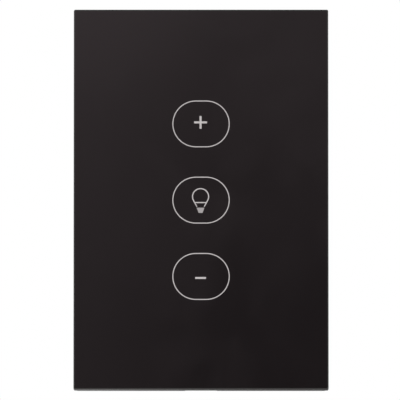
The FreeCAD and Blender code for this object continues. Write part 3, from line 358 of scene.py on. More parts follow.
@dataclass(frozen=True)
class CircuitBoard(Finish):
    """Glass epoxy board under solder resist: copper areas show lighter through it."""

    pour_mm: float = 13.0
    copper: Skin = Skin("#1a5f3d", 0.34)
    via_mm: float = 5.0
    via_radii: tuple[float, float] = (0.4, 0.17)
    blur_mm: float = 0.04
    hole: Skin = Skin("#0c2417", 0.5)

    def detail(self, paint: Paint) -> None:
        """Copper areas with straight and 45 degree borders, and vias."""
        tree = paint.tree
        flat = add_node(tree, "ShaderNodeMapping", {"Rotation": (math.pi / 2, 0, 0)},
                        {"Vector": paint.place})
        pour = add_node(tree, "ShaderNodeTexVoronoi",
                        {"voronoi_dimensions": "2D", "distance": "CHEBYCHEV",
                         "Scale": per_mm(self.pour_mm), "Randomness": 1.0},
                        {"Vector": flat.outputs[0]})
        area = add_node(tree, "ShaderNodeMapRange", {"From Min": 0.42, "From Max": 0.43},
                        {"Value": pour.outputs["Color"]})
        paint.cover(area.outputs[0], self.copper)
        via = add_node(tree, "ShaderNodeTexVoronoi",
                       {"voronoi_dimensions": "2D", "Scale": per_mm(self.via_mm),
                        "Randomness": 0.85}, {"Vector": flat.outputs[0]})
        for radius, skin in zip(self.via_radii, (self.copper, self.hole)):
            spot = add_node(tree, "ShaderNodeMapRange",
                            {"From Min": (radius + self.blur_mm) / self.via_mm,
                             "From Max": radius / self.via_mm},
                            {"Value": via.outputs["Distance"]})
            paint.cover(spot.outputs[0], skin)
        paint.emboss(area.outputs[0], 0.02)


@dataclass(frozen=True)
class WorkedMetal(Finish):
    """Rolled, drawn or turned metal: fine lines along the way it was worked, and dull spots."""

    along: Axis = Axis.ACROSS
    line_mm: float = 0.12
    draw: float = 30.0
    line_depth: float = 0.006
    dull: Skin = Skin("#8c8c8a", 0.5, 1.0)
    dull_mm: float = 3.5
    dull_share: float = 0.6

    def detail(self, paint: Paint) -> None:
        """Lines from noise that is drawn out along one axis, and patches of handling."""
        tree = paint.tree
        scale = [1.0, 1.0, 1.0]
        scale[self.along.value] = 1 / self.draw
        drawn = add_node(tree, "ShaderNodeMapping", {"Scale": scale}, {"Vector": paint.place})
        lines = add_node(tree, "ShaderNodeTexNoise",
                         {"Scale": per_mm(self.line_mm), "Detail": 3.0},
                         {"Vector": drawn.outputs[0]})
        patches = add_node(tree, "ShaderNodeTexNoise",
                           {"Scale": per_mm(self.dull_mm), "Detail": 4.0},
                           {"Vector": paint.place})
        share = add_node(tree, "ShaderNodeMapRange",
                         {"From Min": 0.4, "From Max": 0.75, "To Max": self.dull_share},
                         {"Value": patches.outputs[0]})
        paint.cover(share.outputs[0], self.dull)
        paint.emboss(lines.outputs[0], self.line_depth)


@dataclass(frozen=True)
class DippedCoat(Finish):
    """Epoxy or lacquer that was dipped or poured: glossy, with a soft orange peel."""

    peel_mm: float = 0.9
    peel_depth: float = 0.03
    thin: Skin = Skin("#808080", 0.3)

    def detail(self, paint: Paint) -> None:
        """The peel, with the coat a little lighter where it is thin."""
        peel = add_node(paint.tree, "ShaderNodeTexNoise",
                        {"Scale": per_mm(self.peel_mm), "Detail": 2.0}, {"Vector": paint.place})
        share = add_node(paint.tree, "ShaderNodeMapRange",
                         {"From Min": 0.45, "From Max": 0.75, "To Max": 0.7},
                         {"Value": peel.outputs[0]})
        paint.cover(share.outputs[0], self.thin)
        paint.emboss(peel.outputs[0], self.peel_depth)


@dataclass(frozen=True)
class CasedPart(Finish):
    """An electronic part: tinned metal, and a case of moulded epoxy as an area of its own."""

    tarnish: Skin = Skin("#8f8d86", 0.55, 1.0)
    grain_mm: float = 0.18

    def detail(self, paint: Paint) -> None:
        """Tarnish on the tin, and the grain of the case."""
        grain = add_node(paint.tree, "ShaderNodeTexNoise",
                         {"Scale": per_mm(self.grain_mm), "Detail": 3.0},
                         {"Vector": paint.place})
        paint.cover(grain.outputs[0], self.tarnish)
        paint.emboss(grain.outputs[0], 0.012)


@dataclass(frozen=True)
class LappedTape(Finish):
    """Polyester tape wound in layers: each lap's edge shows as a fine line round the coil."""

    lap_mm: float = 1.98
    lap: Skin = Skin("#a8861c", 0.32)

    def detail(self, paint: Paint) -> None:
        """Bands across the coil, wavy by a little, as each lap lies a little askew.

        The wave runs through 20 radians in a unit, so a lap is two pi twentieths of its scale.
        """
        scale = per_mm(self.lap_mm * 20 / (2 * math.pi))
        bands = add_node(paint.tree, "ShaderNodeTexWave",
                         {"bands_direction": "Y", "wave_profile": "SAW", "Scale": scale,
                          "Distortion": 0.4, "Detail": 1.0}, {"Vector": paint.place})
        paint.cover(bands.outputs[1], self.lap)
        paint.emboss(bands.outputs[1], 0.01)


# Tin solder: bright and smooth, with the slightly grainy skin of a cooled joint.
SOLDER = DippedCoat("tin_solder", Skin("#c6c7c8", 0.24, 1.0), thin=Skin("#b2b3b4", 0.36, 1.0),
                    peel_mm=0.5, peel_depth=0.01)
# Copper under green solder resist: lighter than the board, with the resist's gloss.
TRACK = DippedCoat("resist_over_copper", Skin("#2a7d4d", 0.3), thin=Skin("#34895a", 0.34),
                   peel_mm=1.4, peel_depth=0.004)
# Gold flash over nickel: a thin warm gloss on drawn pins.
GOLD = WorkedMetal("gold_flash", Skin("#e0bc6a", 0.22, 1.0), along=Axis.INTO_WALL,
                   dull=Skin("#c09c50", 0.34, 1.0), dull_share=0.4)
# Flame-retardant PC/ABS in warm white, from a spark-eroded tool.
HOUSING = MouldedPlastic("moulded_pc_abs_warm_white", Skin("#dcdad2", 0.44), 1.58,
                         flow=Skin("#d2cfc5", 0.5))


def resample(path: np.ndarray, count: int) -> np.ndarray:
    """Space points evenly along a path by its length.

    Args:
        path: the path's points, one a row.
        count: how many points to give.

    Returns:
        The new points, whose first and last are the path's own.
    """
    steps = np.linalg.norm(np.diff(path, axis=0), axis=1)
    length = np.concatenate(([0.0], np.cumsum(steps)))
    spots = np.linspace(0, length[-1], count)
    return np.stack([np.interp(spots, length, path[:, axis]) for axis in range(3)], axis=1)


def squared_off(values: np.ndarray, power: float) -> np.ndarray:
    """Raise values to a power below 1 and keep their signs, which squares a circle off."""
    return np.sign(values) * np.abs(values) ** power


def sweep(path: np.ndarray, outward: np.ndarray | tuple[float, float, float], across: float,
          thick: float, sides: int = 10) -> np.ndarray:
    """Carry an oval along a path and draw it in to a point at both ends.

    Each ring is the path's point plus the sideways direction times the oval's half width and
    the outward direction times its half thickness, by the cosine and sine of the turn.

    Args:
        path: the points of the path.
        outward: the direction that the thickness is measured along, for all or at each point.
        across: half the width of the oval.
        thick: half its thickness.
        sides: how many points go round.

    Returns:
        A grid of points, along the path and round it.
    """
    along = np.gradient(path, axis=0)
    side = np.cross(along, outward)
    side /= np.linalg.norm(side, axis=1, keepdims=True)
    up = np.cross(side, along)
    up /= np.linalg.norm(up, axis=1, keepdims=True)
    turn = np.arange(sides) / sides * 2 * np.pi
    rings = (path[:, None, :] + np.cos(turn)[None, :, None] * across * side[:, None, :]
             + np.sin(turn)[None, :, None] * thick * up[:, None, :])
    tips = np.repeat(path[[0, -1], None, :], sides, axis=1)
    return np.concatenate((tips[:1], rings, tips[1:]))


def turned(profile: np.ndarray, foot: np.ndarray, axis: Axis, sides: int = 24) -> np.ndarray:
    """Turn a profile about an axis.

    Each point is the foot, plus its height along the axis, plus its radius times the cosine
    and the sine of the turn along the other two axes.

    Args:
        profile: radius and height of each point.
        foot: the point that the heights are measured from.
        axis: the axis it turns about.
        sides: how many points go round.

    Returns:
        A grid of points, along the profile and round it.
    """
    turn = np.arange(sides) / sides * 2 * np.pi
    points = np.empty((len(profile), sides, 3))
    first, second = [number for number in range(3) if number != axis.value]
    points[..., first] = profile[:, :1] * np.cos(turn)
    points[..., second] = profile[:, :1] * np.sin(turn)
    points[..., axis.value] = profile[:, 1:]
    return points + foot


def rounded_box(low: np.ndarray, high: np.ndarray, sharpness: float = 0.14,
                rows: int = 17, sides: int = 32) -> np.ndarray:
    """Fill a box with a block whose edges are slightly round.

    Each coordinate is a cosine or sine of the latitude and of the turn, raised to a small
    power that keeps its sign, times half the box.

    Args:
        low: the box's lowest corner.
        high: its highest corner.
        sharpness: the power; nearer to 0 is nearer to a box.
        rows: how many rows there are from pole to pole.
        sides: how many points go round.

    Returns:
        A grid of points, from pole to pole and round it.
    """
    latitude = np.linspace(-np.pi / 2, np.pi / 2, rows)[:, None]
    turn = (np.arange(sides) / sides * 2 * np.pi)[None, :]
    ring = squared_off(np.cos(latitude), sharpness)
    ring[[0, -1]] = 0
    unit = np.stack((ring * squared_off(np.cos(turn), sharpness),
                     ring * squared_off(np.sin(turn), sharpness),
                     squared_off(np.sin(latitude), sharpness) * np.ones_like(turn)), axis=-1)
    return (np.asarray(low) + high) / 2 + unit * (np.asarray(high) - low) / 2


class Shell:
    """A piece's mesh, gathered from grids of points that are closed all round."""

    def __init__(self) -> None:
        """Start with no points."""
        self.points: list[np.ndarray] = []
        self.faces: list[np.ndarray] = []
        self.count = 0

    def add(self, grid: np.ndarray) -> Shell:
        """Add a grid whose columns close round; rows of equal points close to a pole.

        Args:
            grid: points in rows and columns.

        Returns:
            This shell.
        """
        rows, columns = grid.shape[:2]
        row, column = np.meshgrid(np.arange(rows - 1), np.arange(columns), indexing="ij")
        following = (column + 1) % columns
        faces = np.stack((row * columns + column, row * columns + following,
                          (row + 1) * columns + following, (row + 1) * columns + column),
                         axis=-1).reshape(-1, 4)
        self.points.append(grid.reshape(-1, 3))
        self.faces.append(faces + self.count)
        self.count += rows * columns
        return self

    def piece(self, name: str, body: str, slot: str, finish: Finish) -> bpy.types.Object:
        """Finish the mesh as a piece of the object.

        Args:
            name: the piece's name.
            body: the body that it rides on.
            slot: not used.
            finish: the finish that dresses it.

        Returns:
            The piece, at the origin with its place in its mesh.
        """
        mesh = bpy.data.meshes.new(name)
        mesh.from_pydata(np.concatenate(self.points), [], np.concatenate(self.faces))
        work = bmesh.new()
        work.from_mesh(mesh)
        bmesh.ops.remove_doubles(work, verts=work.verts, dist=SAME_VERTEX)
        bmesh.ops.recalc_face_normals(work, faces=work.faces)
        work.to_mesh(mesh)
        work.free()
        mesh.shade_smooth()
        made = bpy.data.objects.new(name, mesh)
        bpy.context.scene.collection.objects.link(made)
        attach(made, body)
        finish.dress(made)
        log.info("made %s: %d faces on %s", name, len(mesh.polygons), body)
        return made


def track(start: tuple[float, float], end: tuple[float, float], level: float, side: int,
          width: float, rise: float = 0.04 * MM) -> np.ndarray:
    """A copper track under the resist: straight up, over at 45 degrees, then straight across.

    Args:
        start: where it starts, across and up.
        end: where it ends, across and up.
        level: the place of the board's face along Y.
        side: 1 if the face looks to the wall, -1 if it looks to the room.
        width: its width.
        rise: how far it stands up from the board.

    Returns:
        A closed grid of points.
    """
    first, last = np.array(start), np.array(end)
    way = last - first
    slant = np.sign(way) * np.abs(way).min() * SLANT_SHARE
    bend = first + (0, way[1] - slant[1])
    flat = np.array((first, bend, bend + slant, last))
    apart = np.linalg.norm(np.diff(flat, axis=0), axis=1) > SAME_PLACE
    flat = flat[np.concatenate(([True], apart))]
    path = np.stack((flat[:, 0], np.full(len(flat), level), flat[:, 1]), axis=1)
    return sweep(resample(path, 36), (0.0, side, 0.0), width / 2, rise, 8)


def solder_joint(foot: np.ndarray, rise: float, radius: float) -> np.ndarray:
    """A solder joint: its radius shrinks with the square of the height left to its tip.

    Args:
        foot: the middle of its foot, on the board.
        rise: its height along Y, below zero towards the room.
        radius: the radius of its foot.

    Returns:
        A closed grid of points.
    """
    level = np.linspace(0, 1, 7)
    width = radius * (0.3 + 0.7 * (1 - level) ** 2)
    profile = np.stack((width, level * rise), axis=1)
    profile = np.concatenate(([[0, 0]], profile, [[0, rise * 1.06]]))
    return turned(profile, foot, Axis.INTO_WALL, 14)


def centre(name: str) -> Vector:
    """The middle of a node's box."""
    return sum(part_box(name), Vector()) / 2


def each(stem: str, ends: tuple[str, ...]) -> tuple[str, ...]:
    """The names of the nodes of one kind, one for each key or pole."""
    return tuple(f"{stem}_{end}" for end in ends)


class SubAssembly:
    """A part of the switch that dresses its nodes and makes its pieces."""

    # Each finish that needs no size from the frame, and the nodes it dresses.
    FINISHES: tuple[tuple[Finish, tuple[str, ...]], ...] = ()

    def __init__(self, frame: dict[str, object]) -> None:
        """Keep the frame's nodes."""
        self.nodes: dict[str, bpy.types.Object] = frame["nodes"]

    def build(self) -> None:
        """Dress the nodes of the list of finishes."""
        for finish, names in self.FINISHES:
            self.dress(finish, *names)

    def dress(self, finish: Finish, *names: str) -> None:
        """Give a finish to nodes by their names."""
        finish.dress(*(self.nodes[name] for name in names))
        log.info("dressed %s in %s", ", ".join(names), finish.name)

    def dress_board(self, name: str, material: str, resist: Skin) -> None:
        """Dress a circuit board, whose sawn edge shows the bare glass epoxy.

        Args:
            name: the board's node.
            material: the finish's name.
            resist: the skin of the solder resist.
        """
        low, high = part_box(name)
        rim = Vector((0.05 * MM, -1, 0.05 * MM))
        edge = Area(Skin("#8c8f6a", 0.7), low + rim, high - rim, outside=True)
        self.dress(CircuitBoard(material, resist, area=edge), name)

    def dress_chip(self, name: str, reach: float) -> None:
        """Dress a chip whose leads stick out above and below its case.

        Args:
            name: the chip's node.
            reach: how far the leads stick out, in metres.
        """
        low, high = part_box(name)
        lead, wide = Vector((0, 0, reach)), Vector((1, 1, 0))
        case = Area(Skin("#1b1b1c", 0.55), low + lead - wide, high - lead + wide)
        self.dress(CasedPart("moulded_epoxy_" + name, Skin("#c4c2bb", 0.3, 1.0), area=case),
                   name)


class FrontPlate(SubAssembly):
    """The glass, its printed marks, the tape that holds it and the frame behind."""

    # Up to the glass's ground edge, and the cap of the bulb, 2.6 to 4.6 mm below the middle.
    FACE = Vector((39.55 * MM, 1, 59.55 * MM))
    CAP = (Vector((-2 * MM, -1, -4.6 * MM)), Vector((2 * MM, 1, -2.6 * MM)))
    FINISHES = (
        # Polished glass over black: nearly black, with a sharp and slightly warm mirror.
        (PrintedGlass("float_glass_black_print", Skin("#0e0b0c", 0.035),
                      area=Area(Skin("#171c1a", 0.1), -FACE, FACE, outside=True)),
         ("glass_panel",)),
        # Fired ink: pale grey and satin; the bulb's cap is printed thinner.
        (ScreenPrint("fired_ink_light_grey", Skin("#bfbaba", 0.36),
                     area=Area(Skin("#989394", 0.42), *CAP)), each("key_mark", KEYS)),
        # Foam tape: dull black, a dark line round the glass.
        (FoamTape("acrylic_foam_tape_black", Skin("#121212", 0.9)), ("adhesive_tape",)),
        # Black ABS with an eroded grain: softer and a little greyer than the glass.
        (MouldedPlastic("moulded_abs_black", Skin("#161617", 0.46), 1.53,
                        flow=Skin("#1c1c1d", 0.52)), ("front_frame",)))


@dataclass
class TouchBoardSizes:
    """Sizes of what is added to the touch board, in metres."""

    lead_reach: float = 1.2 * MM
    pad_count: int = 8
    pad_radius: float = 0.5 * MM
    pad_rise: float = 0.55 * MM
    aerial_turns: int = 5
    aerial_low: float = 9.9 * MM
    aerial_high: float = 13.2 * MM
    aerial_half_width: float = 6.0 * MM
    aerial_line: float = 0.22 * MM
    aerial_rise: float = 0.03 * MM
    small_part: tuple[float, float, float] = (1.6 * MM, 0.5 * MM, 0.8 * MM)
    small_row: float = -11.5 * MM
    small_pitch: float = 3.2 * MM
    small_count: int = 6
    first_pad: float = 2.0 * MM
    last_pad: float = 7.0 * MM
    pad_step: float = 2.2 * MM
    lane_start: float = 1.1 * MM
    lane_pitch: float = 0.56 * MM
    pin_pitch: float = 2.54 * MM
    leg_pitch: float = 1.27 * MM
    leg_foot: float = 0.4 * MM
    fan_pitch: float = 3.0 * MM
    spread_pitch: float = 5.2 * MM
    spread_drop: float = 3.2 * MM
    spread_step: float = 1.6 * MM
    radio_track: float = 0.35 * MM
    chip_track: float = 0.3 * MM
    key_track: float = 0.4 * MM
    key_reach: float = 3.0 * MM
    key_share: float = 1.25


class TouchBoard(SubAssembly):
    """The board behind the glass: touch springs, lights, radio module and touch chip."""

    FINISHES = (
        # Black resist hides the copper: only a faint change of shade.
        (CircuitBoard("glass_epoxy_black_resist", Skin("#15171c", 0.36),
                      copper=Skin("#1d2128", 0.3), pour_mm=4.0), ("wifi_module",)),
        # Tinned sheet: a pale mirror with cloudy spots.
        (WorkedMetal("tinned_sheet", Skin("#cfcfce", 0.26, 1.0),
                     dull=Skin("#a9a9a6", 0.42, 1.0)), ("wifi_shield",)),
        # Nickelled spring wire: a warm shine along the wire.
        (WorkedMetal("drawn_spring_nickel", Skin("#cdc9c0", 0.24, 1.0), along=Axis.INTO_WALL,
                     dull=Skin("#98948a", 0.42, 1.0)), each("touch_spring", KEYS)),
        # White ABS: bright and satin, to throw the light forwards.
        (MouldedPlastic("moulded_abs_white", Skin("#e4e3dd", 0.42), 1.53,
                        flow=Skin("#d6d5cd", 0.5)), each("light_cup", KEYS)),
        # Phosphor under clear resin: pale yellow and glossy.
        (DippedCoat("lens_resin_amber", Skin("#e6dd9a", 0.12), thin=Skin("#f2ecc0", 0.18),
                    peel_mm=0.4, peel_depth=0.01), each("led", KEYS)),
        # Bright zinc on turned steel: bluish silver.
        (WorkedMetal("zinc_plate_small_screws", Skin("#bfc2c4", 0.28, 1.0),
                     along=Axis.INTO_WALL), ("board_screws",)),
        # Black PBT: a dull satin with a fine grain.
        (MouldedPlastic("moulded_pbt_black", Skin("#151516", 0.5), 1.57, grain_mm=0.2,
                        flow=Skin("#1d1d1e", 0.56)), ("board_socket",)))

    def __init__(self, frame: dict[str, object]) -> None:
        """Take the sizes and the back face of the board."""
        super().__init__(frame)
        self.sizes = TouchBoardSizes()
        self.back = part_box("touch_board")[1].y

    def build(self) -> None:
        """Dress the nodes, and add joints, small parts, tracks and the radio's aerial."""
        super().build()
        self.dress_board("touch_board", "glass_epoxy_green_resist", Skin("#145233", 0.36))
        self.dress_chip("touch_ic", self.sizes.lead_reach)
        self.make_module_joints()
        self.make_aerial()
        self.make_small_parts()
        self.make_tracks()

    def make_tracks(self) -> None:
        """Tracks on the back: the radio's pads to the socket, and the touch chip's legs."""
        sizes = self.sizes
        low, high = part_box("wifi_module")
        chip_low, chip_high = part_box("touch_ic")
        shell = Shell()

        def lay(start: tuple[float, float], end: tuple[float, float], width: float) -> None:
            """Lay one track on the board's back."""
            shell.add(track(start, end, self.back, 1, width))

        for step in range(sizes.pad_count):
            place = step - (sizes.pad_count - 1) / 2
            away, side = abs(place), math.copysign(1, place)
            row = low.z + sizes.first_pad + (sizes.pad_count / 2 - 0.5 - away) * sizes.pad_step
            lane = (side * (high.x + sizes.lane_start + away * sizes.lane_pitch), row)
            lay(lane, (place * sizes.pin_pitch, centre("board_socket").z), sizes.radio_track)
            lay(lane, (side * high.x, row), sizes.radio_track)
            leg = place * sizes.leg_pitch
            lay((leg, chip_high.z - sizes.leg_foot), (place * sizes.fan_pitch, sizes.small_row),
                sizes.chip_track)
            drop = chip_low.z - sizes.spread_drop - away * sizes.spread_step
            lay((leg, chip_low.z + sizes.leg_foot), (place * sizes.spread_pitch, drop),
                sizes.chip_track)
        for key in KEYS:
            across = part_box(f"light_cup_{key}")[1].x * sizes.key_share
            lay((across, chip_low.z - sizes.key_reach),
                (across + sizes.key_reach, centre(f"light_cup_{key}").z), sizes.key_track)
        shell.piece("touch_board_tracks", "front_panel", "board_green", TRACK)

    def make_module_joints(self) -> None:
        """Solder along both long edges of the radio module, a joint to each pad."""
        low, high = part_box("wifi_module")
        shell = Shell()
        rows = np.linspace(low.z + self.sizes.first_pad, high.z - self.sizes.last_pad,
                           self.sizes.pad_count)
        for across in (low.x, high.x):
            for up in rows:
                shell.add(solder_joint(np.array((across, self.back, up)), self.sizes.pad_rise,
                                       self.sizes.pad_radius))
        shell.piece("wifi_joints", "front_panel", "shield_tin", SOLDER)

    def make_aerial(self) -> None:
        """The printed aerial: a square wave of track, carried as a flat oval."""
        sizes = self.sizes
        corners = np.repeat(np.linspace(-sizes.aerial_half_width, sizes.aerial_half_width,
                                        sizes.aerial_turns * 2), 2)
        heights = np.tile((sizes.aerial_low, sizes.aerial_high, sizes.aerial_high,
                           sizes.aerial_low), sizes.aerial_turns)
        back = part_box("wifi_module")[1].y
        path = np.stack((corners, np.full_like(corners, back), heights), axis=1)
        shell = Shell().add(sweep(resample(path, 400), TO_WALL, sizes.aerial_line,
                                  sizes.aerial_rise, 8))
        shell.piece("wifi_aerial", "front_panel", "pin_gold", GOLD)

    def make_small_parts(self) -> None:
        """A row of chip resistors and capacitors between the radio and the touch chip."""
        sizes = self.sizes
        half = np.array(sizes.small_part) / 2
        bodies, ends = Shell(), Shell()
        for step in range(sizes.small_count):
            across = (step - (sizes.small_count - 1) / 2) * sizes.small_pitch
            middle = np.array((across, self.back + half[1], sizes.small_row))
            bodies.add(rounded_box(middle - half * (0.62, 0.96, 0.96),
                                   middle + half * (0.62, 0.96, 0.96), rows=9, sides=16))
            for side in (-1, 1):
                end = middle + half * (side * 0.78, 0, 0)
                ends.add(rounded_box(end - half * (0.22, 1, 1), end + half * (0.22, 1, 1),
                                     rows=9, sides=16))
        bodies.piece("small_parts", "front_panel", "chip_black",
                     MouldedPlastic("fired_ceramic_dark", Skin("#2b241f", 0.4),
                                    grain_mm=0.15, flow=Skin("#3a3027", 0.46)))
        ends.piece("small_part_ends", "front_panel", "shield_tin", SOLDER)


@dataclass
class HousingSizes:
    """Sizes of the marks moulded on the housing, in metres."""

    stroke: float = 0.34 * MM
    rise: float = 0.36 * MM
    letter_height: float = 2.3 * MM
    letter_width: float = 1.6 * MM
    letter_row: float = -32.55 * MM
    floor_over_screw: float = 2.05 * MM
    ejector_place: tuple[float, float] = (31 * MM, 38 * MM)
    ejector_radius: float = 1.6 * MM
    ejector_rise: float = 0.08 * MM


class Housing(SubAssembly):
    """The moulded box that goes into the wall, its cover and its screws."""

    # The strokes of each terminal's mark, as corners in shares of its width and height.
    MARKS = {"line": (((0, 1), (0, 0)), ((0, 0), (1, 0))),
             "neutral": (((0, 0), (0, 1)), ((0, 1), (1, 0)), ((1, 0), (1, 1))),
             "load": (((0.5, 1), (0.5, 0)), ((0, 0.45), (0.5, 0)), ((1, 0.45), (0.5, 0)))}
    FINISHES = (
        (HOUSING, ("rear_housing", "inner_cover")),
        # Bright zinc on turned steel: bluish silver.
        (WorkedMetal("zinc_plate_cover_screws", Skin("#bcbfc1", 0.3, 1.0),
                     along=Axis.INTO_WALL), ("cover_screws",)))

    def __init__(self, frame: dict[str, object]) -> None:
        """Take the sizes."""
        super().__init__(frame)
        self.sizes = HousingSizes()

    def build(self) -> None:
        """Dress the housing, and add its terminal marks and ejector marks."""
        super().build()
        self.make_terminal_marks()
        self.make_ejector_marks()

    def make_terminal_marks(self) -> None:
        """Raised L, N and load arrow below each driver hole, stroke by stroke."""
        sizes = self.sizes
        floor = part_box("terminal_screw_line")[1].y + sizes.floor_over_screw
        shell = Shell()
        for pole in POLES:
            across = centre(f"terminal_screw_{pole}").x
            for start, end in self.MARKS[pole]:
                ends = np.array([(across - (share[0] - 0.5) * sizes.letter_width, floor,
                                  sizes.letter_row + (share[1] - 0.5) * sizes.letter_height)
                                 for share in (start, end)])
                shell.add(sweep(resample(ends, 12), TO_WALL, sizes.stroke, sizes.rise, 12))
        shell.piece("terminal_marks", "base", "housing_white", HOUSING)

    def make_ejector_marks(self) -> None:
        """Flat round marks of the tool's ejector pins, in the corners of the flange's back."""
        sizes = self.sizes
        profile = np.array(((0, 0), (sizes.ejector_radius, 0),
                            (sizes.ejector_radius, sizes.ejector_rise * 0.6),
                            (sizes.ejector_radius * 0.96, sizes.ejector_rise),
                            (0, sizes.ejector_rise)))
        shell = Shell()
        across, up = sizes.ejector_place
        for place in ((-across, -up), (-across, up), (across, -up), (across, up)):
            foot = np.array((place[0], 0.0, place[1]))
            shell.add(turned(profile, foot, Axis.INTO_WALL, 32))
        shell.piece("ejector_marks", "base", "housing_white", HOUSING)


@dataclass
class PowerBoardSizes:
    """Sizes of the choke's wire and of the joints on the power board, in metres."""

    lead_reach: float = 1.2 * MM
    wire: float = 1.15 * MM
    turns: int = 14
    arc: float = 300.0
    corner_power: float = 0.2
    points_per_turn: int = 48
    joint_radius: float = 1.0 * MM
    joint_rise: float = -0.75 * MM
    joint_share: float = 0.6
    sleeve_rim: float = 0.7 * MM
    vent_depth: float = 0.12 * MM
    vent_width: float = 0.09
    stripe_share: float = 0.12
    stripe_end: float = 0.6 * MM
    track_shift: float = 0.9 * MM
    triac_lead: float = 3.0 * MM
    triac_tab: float = 6.4 * MM
    varistor_lead: float = 2.0 * MM


class PowerBoard(SubAssembly):
    """The mains board with its filter, supply, triac and heat sink."""

    # The tracks: which two nodes each joins, and its width in millimetres.
    NETS = (("terminal_contact_line", "fuse", 2.2), ("fuse", "varistor", 1.8),
            ("varistor", "film_capacitor", 1.8), ("choke_core", "bridge_rectifier", 1.2),
            ("terminal_contact_neutral", "choke_core", 2.2),
            ("terminal_contact_load", "triac", 2.4), ("optocoupler", "triac", 0.6),
            ("bulk_capacitor", "bridge_rectifier", 1.0), ("regulator_ic", "pin_header", 0.5),
            ("transformer_base", "regulator_ic", 0.6), ("filter_capacitor", "optocoupler", 0.6),
            ("transformer_base", "filter_capacitor", 0.8))
    FINISHES = (
        # Black PBT: a dull satin with a fine grain.
        (MouldedPlastic("moulded_pbt_header", Skin("#161617", 0.5), 1.57, grain_mm=0.2,
                        flow=Skin("#1e1e1f", 0.56)), ("pin_header", "transformer_base")),
        (GOLD, ("header_pins",)),
        # Aluminium as it leaves the mill: pale, with lines along the sheet.
        (WorkedMetal("mill_aluminium", Skin("#d2d3d6", 0.32, 1.0), line_depth=0.012,
                     dull=Skin("#b3b4b7", 0.46, 1.0)), ("heat_sink",)),
        # Bright zinc on turned steel: bluish silver.
        (WorkedMetal("zinc_plate_sink_screw", Skin("#bcbfc1", 0.3, 1.0), along=Axis.UP),
         ("heat_sink_screw",)),
        # Filled silicone rubber: matt light grey.
        (MouldedPlastic("silicone_pad_grey", Skin("#a9adb3", 0.6), 1.41, grain_mm=0.35,
                        flow=Skin("#9a9ea4", 0.66)), ("insulating_pad",)),
        # A potted plastic box: even yellow with a soft gloss.
        (DippedCoat("potted_box_yellow", Skin("#d9b33c", 0.34), thin=Skin("#e2c052", 0.4),
                    peel_depth=0.008), ("film_capacitor",)),
        # Powder coat on a ring of pressed iron: matt yellow with orange peel.
        (DippedCoat("powder_coat_yellow_core", Skin("#c9ae3e", 0.5),
                    thin=Skin("#d6bf5c", 0.56)), ("choke_core",)),
        # A moulded cap: glossy brown.
        (DippedCoat("moulded_cap_brown", Skin("#4a3226", 0.3), thin=Skin("#5a4032", 0.36),
                    peel_depth=0.01), ("fuse",)),
        # Sintered ferrite: dark grey, stony and a little rough.
        (MouldedPlastic("sintered_ferrite", Skin("#3b3b3d", 0.5), 2.2, grain_mm=0.14,
                        grain_depth=0.03, flow=Skin("#4a4a4b", 0.6)), ("transformer_core",)),
        # Polyester tape: glossy yellow in laps.
        (LappedTape("polyester_tape_yellow", Skin("#d8b226", 0.24)),
         ("transformer_winding",)))

    def __init__(self, frame: dict[str, object]) -> None:
        """Take the sizes and the two faces of the board."""
        super().__init__(frame)
        self.sizes = PowerBoardSizes()
        low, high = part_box("power_board")
        self.front, self.back = low.y, high.y

    def build(self) -> None:
        """Dress the nodes, wind the choke, and solder the board with its tracks."""
        super().build()
        self.dress_board("power_board", "glass_epoxy_green_mains", Skin("#15573a", 0.38))
        for name in ("bridge_rectifier", "regulator_ic", "optocoupler"):
            self.dress_chip(name, self.sizes.lead_reach)
        self.dress_leaded("triac", self.sizes.triac_lead, self.sizes.triac_tab,
                          Skin("#1b1b1c", 0.5))
        self.dress_leaded("varistor", self.sizes.varistor_lead, 0.0, Skin("#2f5fa8", 0.3))
        for name in ("bulk_capacitor", "filter_capacitor"):
            self.dress_can(name)
        self.wind_choke()
        self.make_joints()
        self.make_tracks()

    def make_tracks(self) -> None:
        """Wide tracks of the mains and narrow ones of the supply, on the board's two faces."""
        shell = Shell()
        for first, last, width in self.NETS:
            start, end = centre(first), centre(last)
            for level, side in ((self.front, -1), (self.back, 1)):
                shift = self.sizes.track_shift * side
                shell.add(track((start.x + shift, start.z), (end.x + shift, end.z), level, side,
                                width * MM))
        shell.piece("power_board_tracks", "base", "board_green", TRACK)

    def dress_leaded(self, name: str, lead: float, tab: float, case: Skin) -> None:
        """Dress a part whose leads stand on the board, with a metal tab past its case.

        Args:
            name: the part's node.
            lead: the length of its leads.
            tab: how far its tab reaches past the case.
            case: the skin of the case.
        """
        low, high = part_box(name)
        wide = Vector((1, 0, 1))
        area = Area(case, low + Vector((0, lead, 0)) - wide, high - Vector((0, tab, 0)) + wide)
        self.dress(CasedPart("moulded_epoxy_" + name, Skin("#c9c7c0", 0.3, 1.0), area=area),
                   name)

    def dress_can(self, name: str) -> None:
        """Dress a capacitor's can in its sleeve, with its scored metal top added."""
        low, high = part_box(name)
        across, up = (low.x + high.x) / 2, (low.z + high.z) / 2
        half = (high.x - low.x) * self.sizes.stripe_share
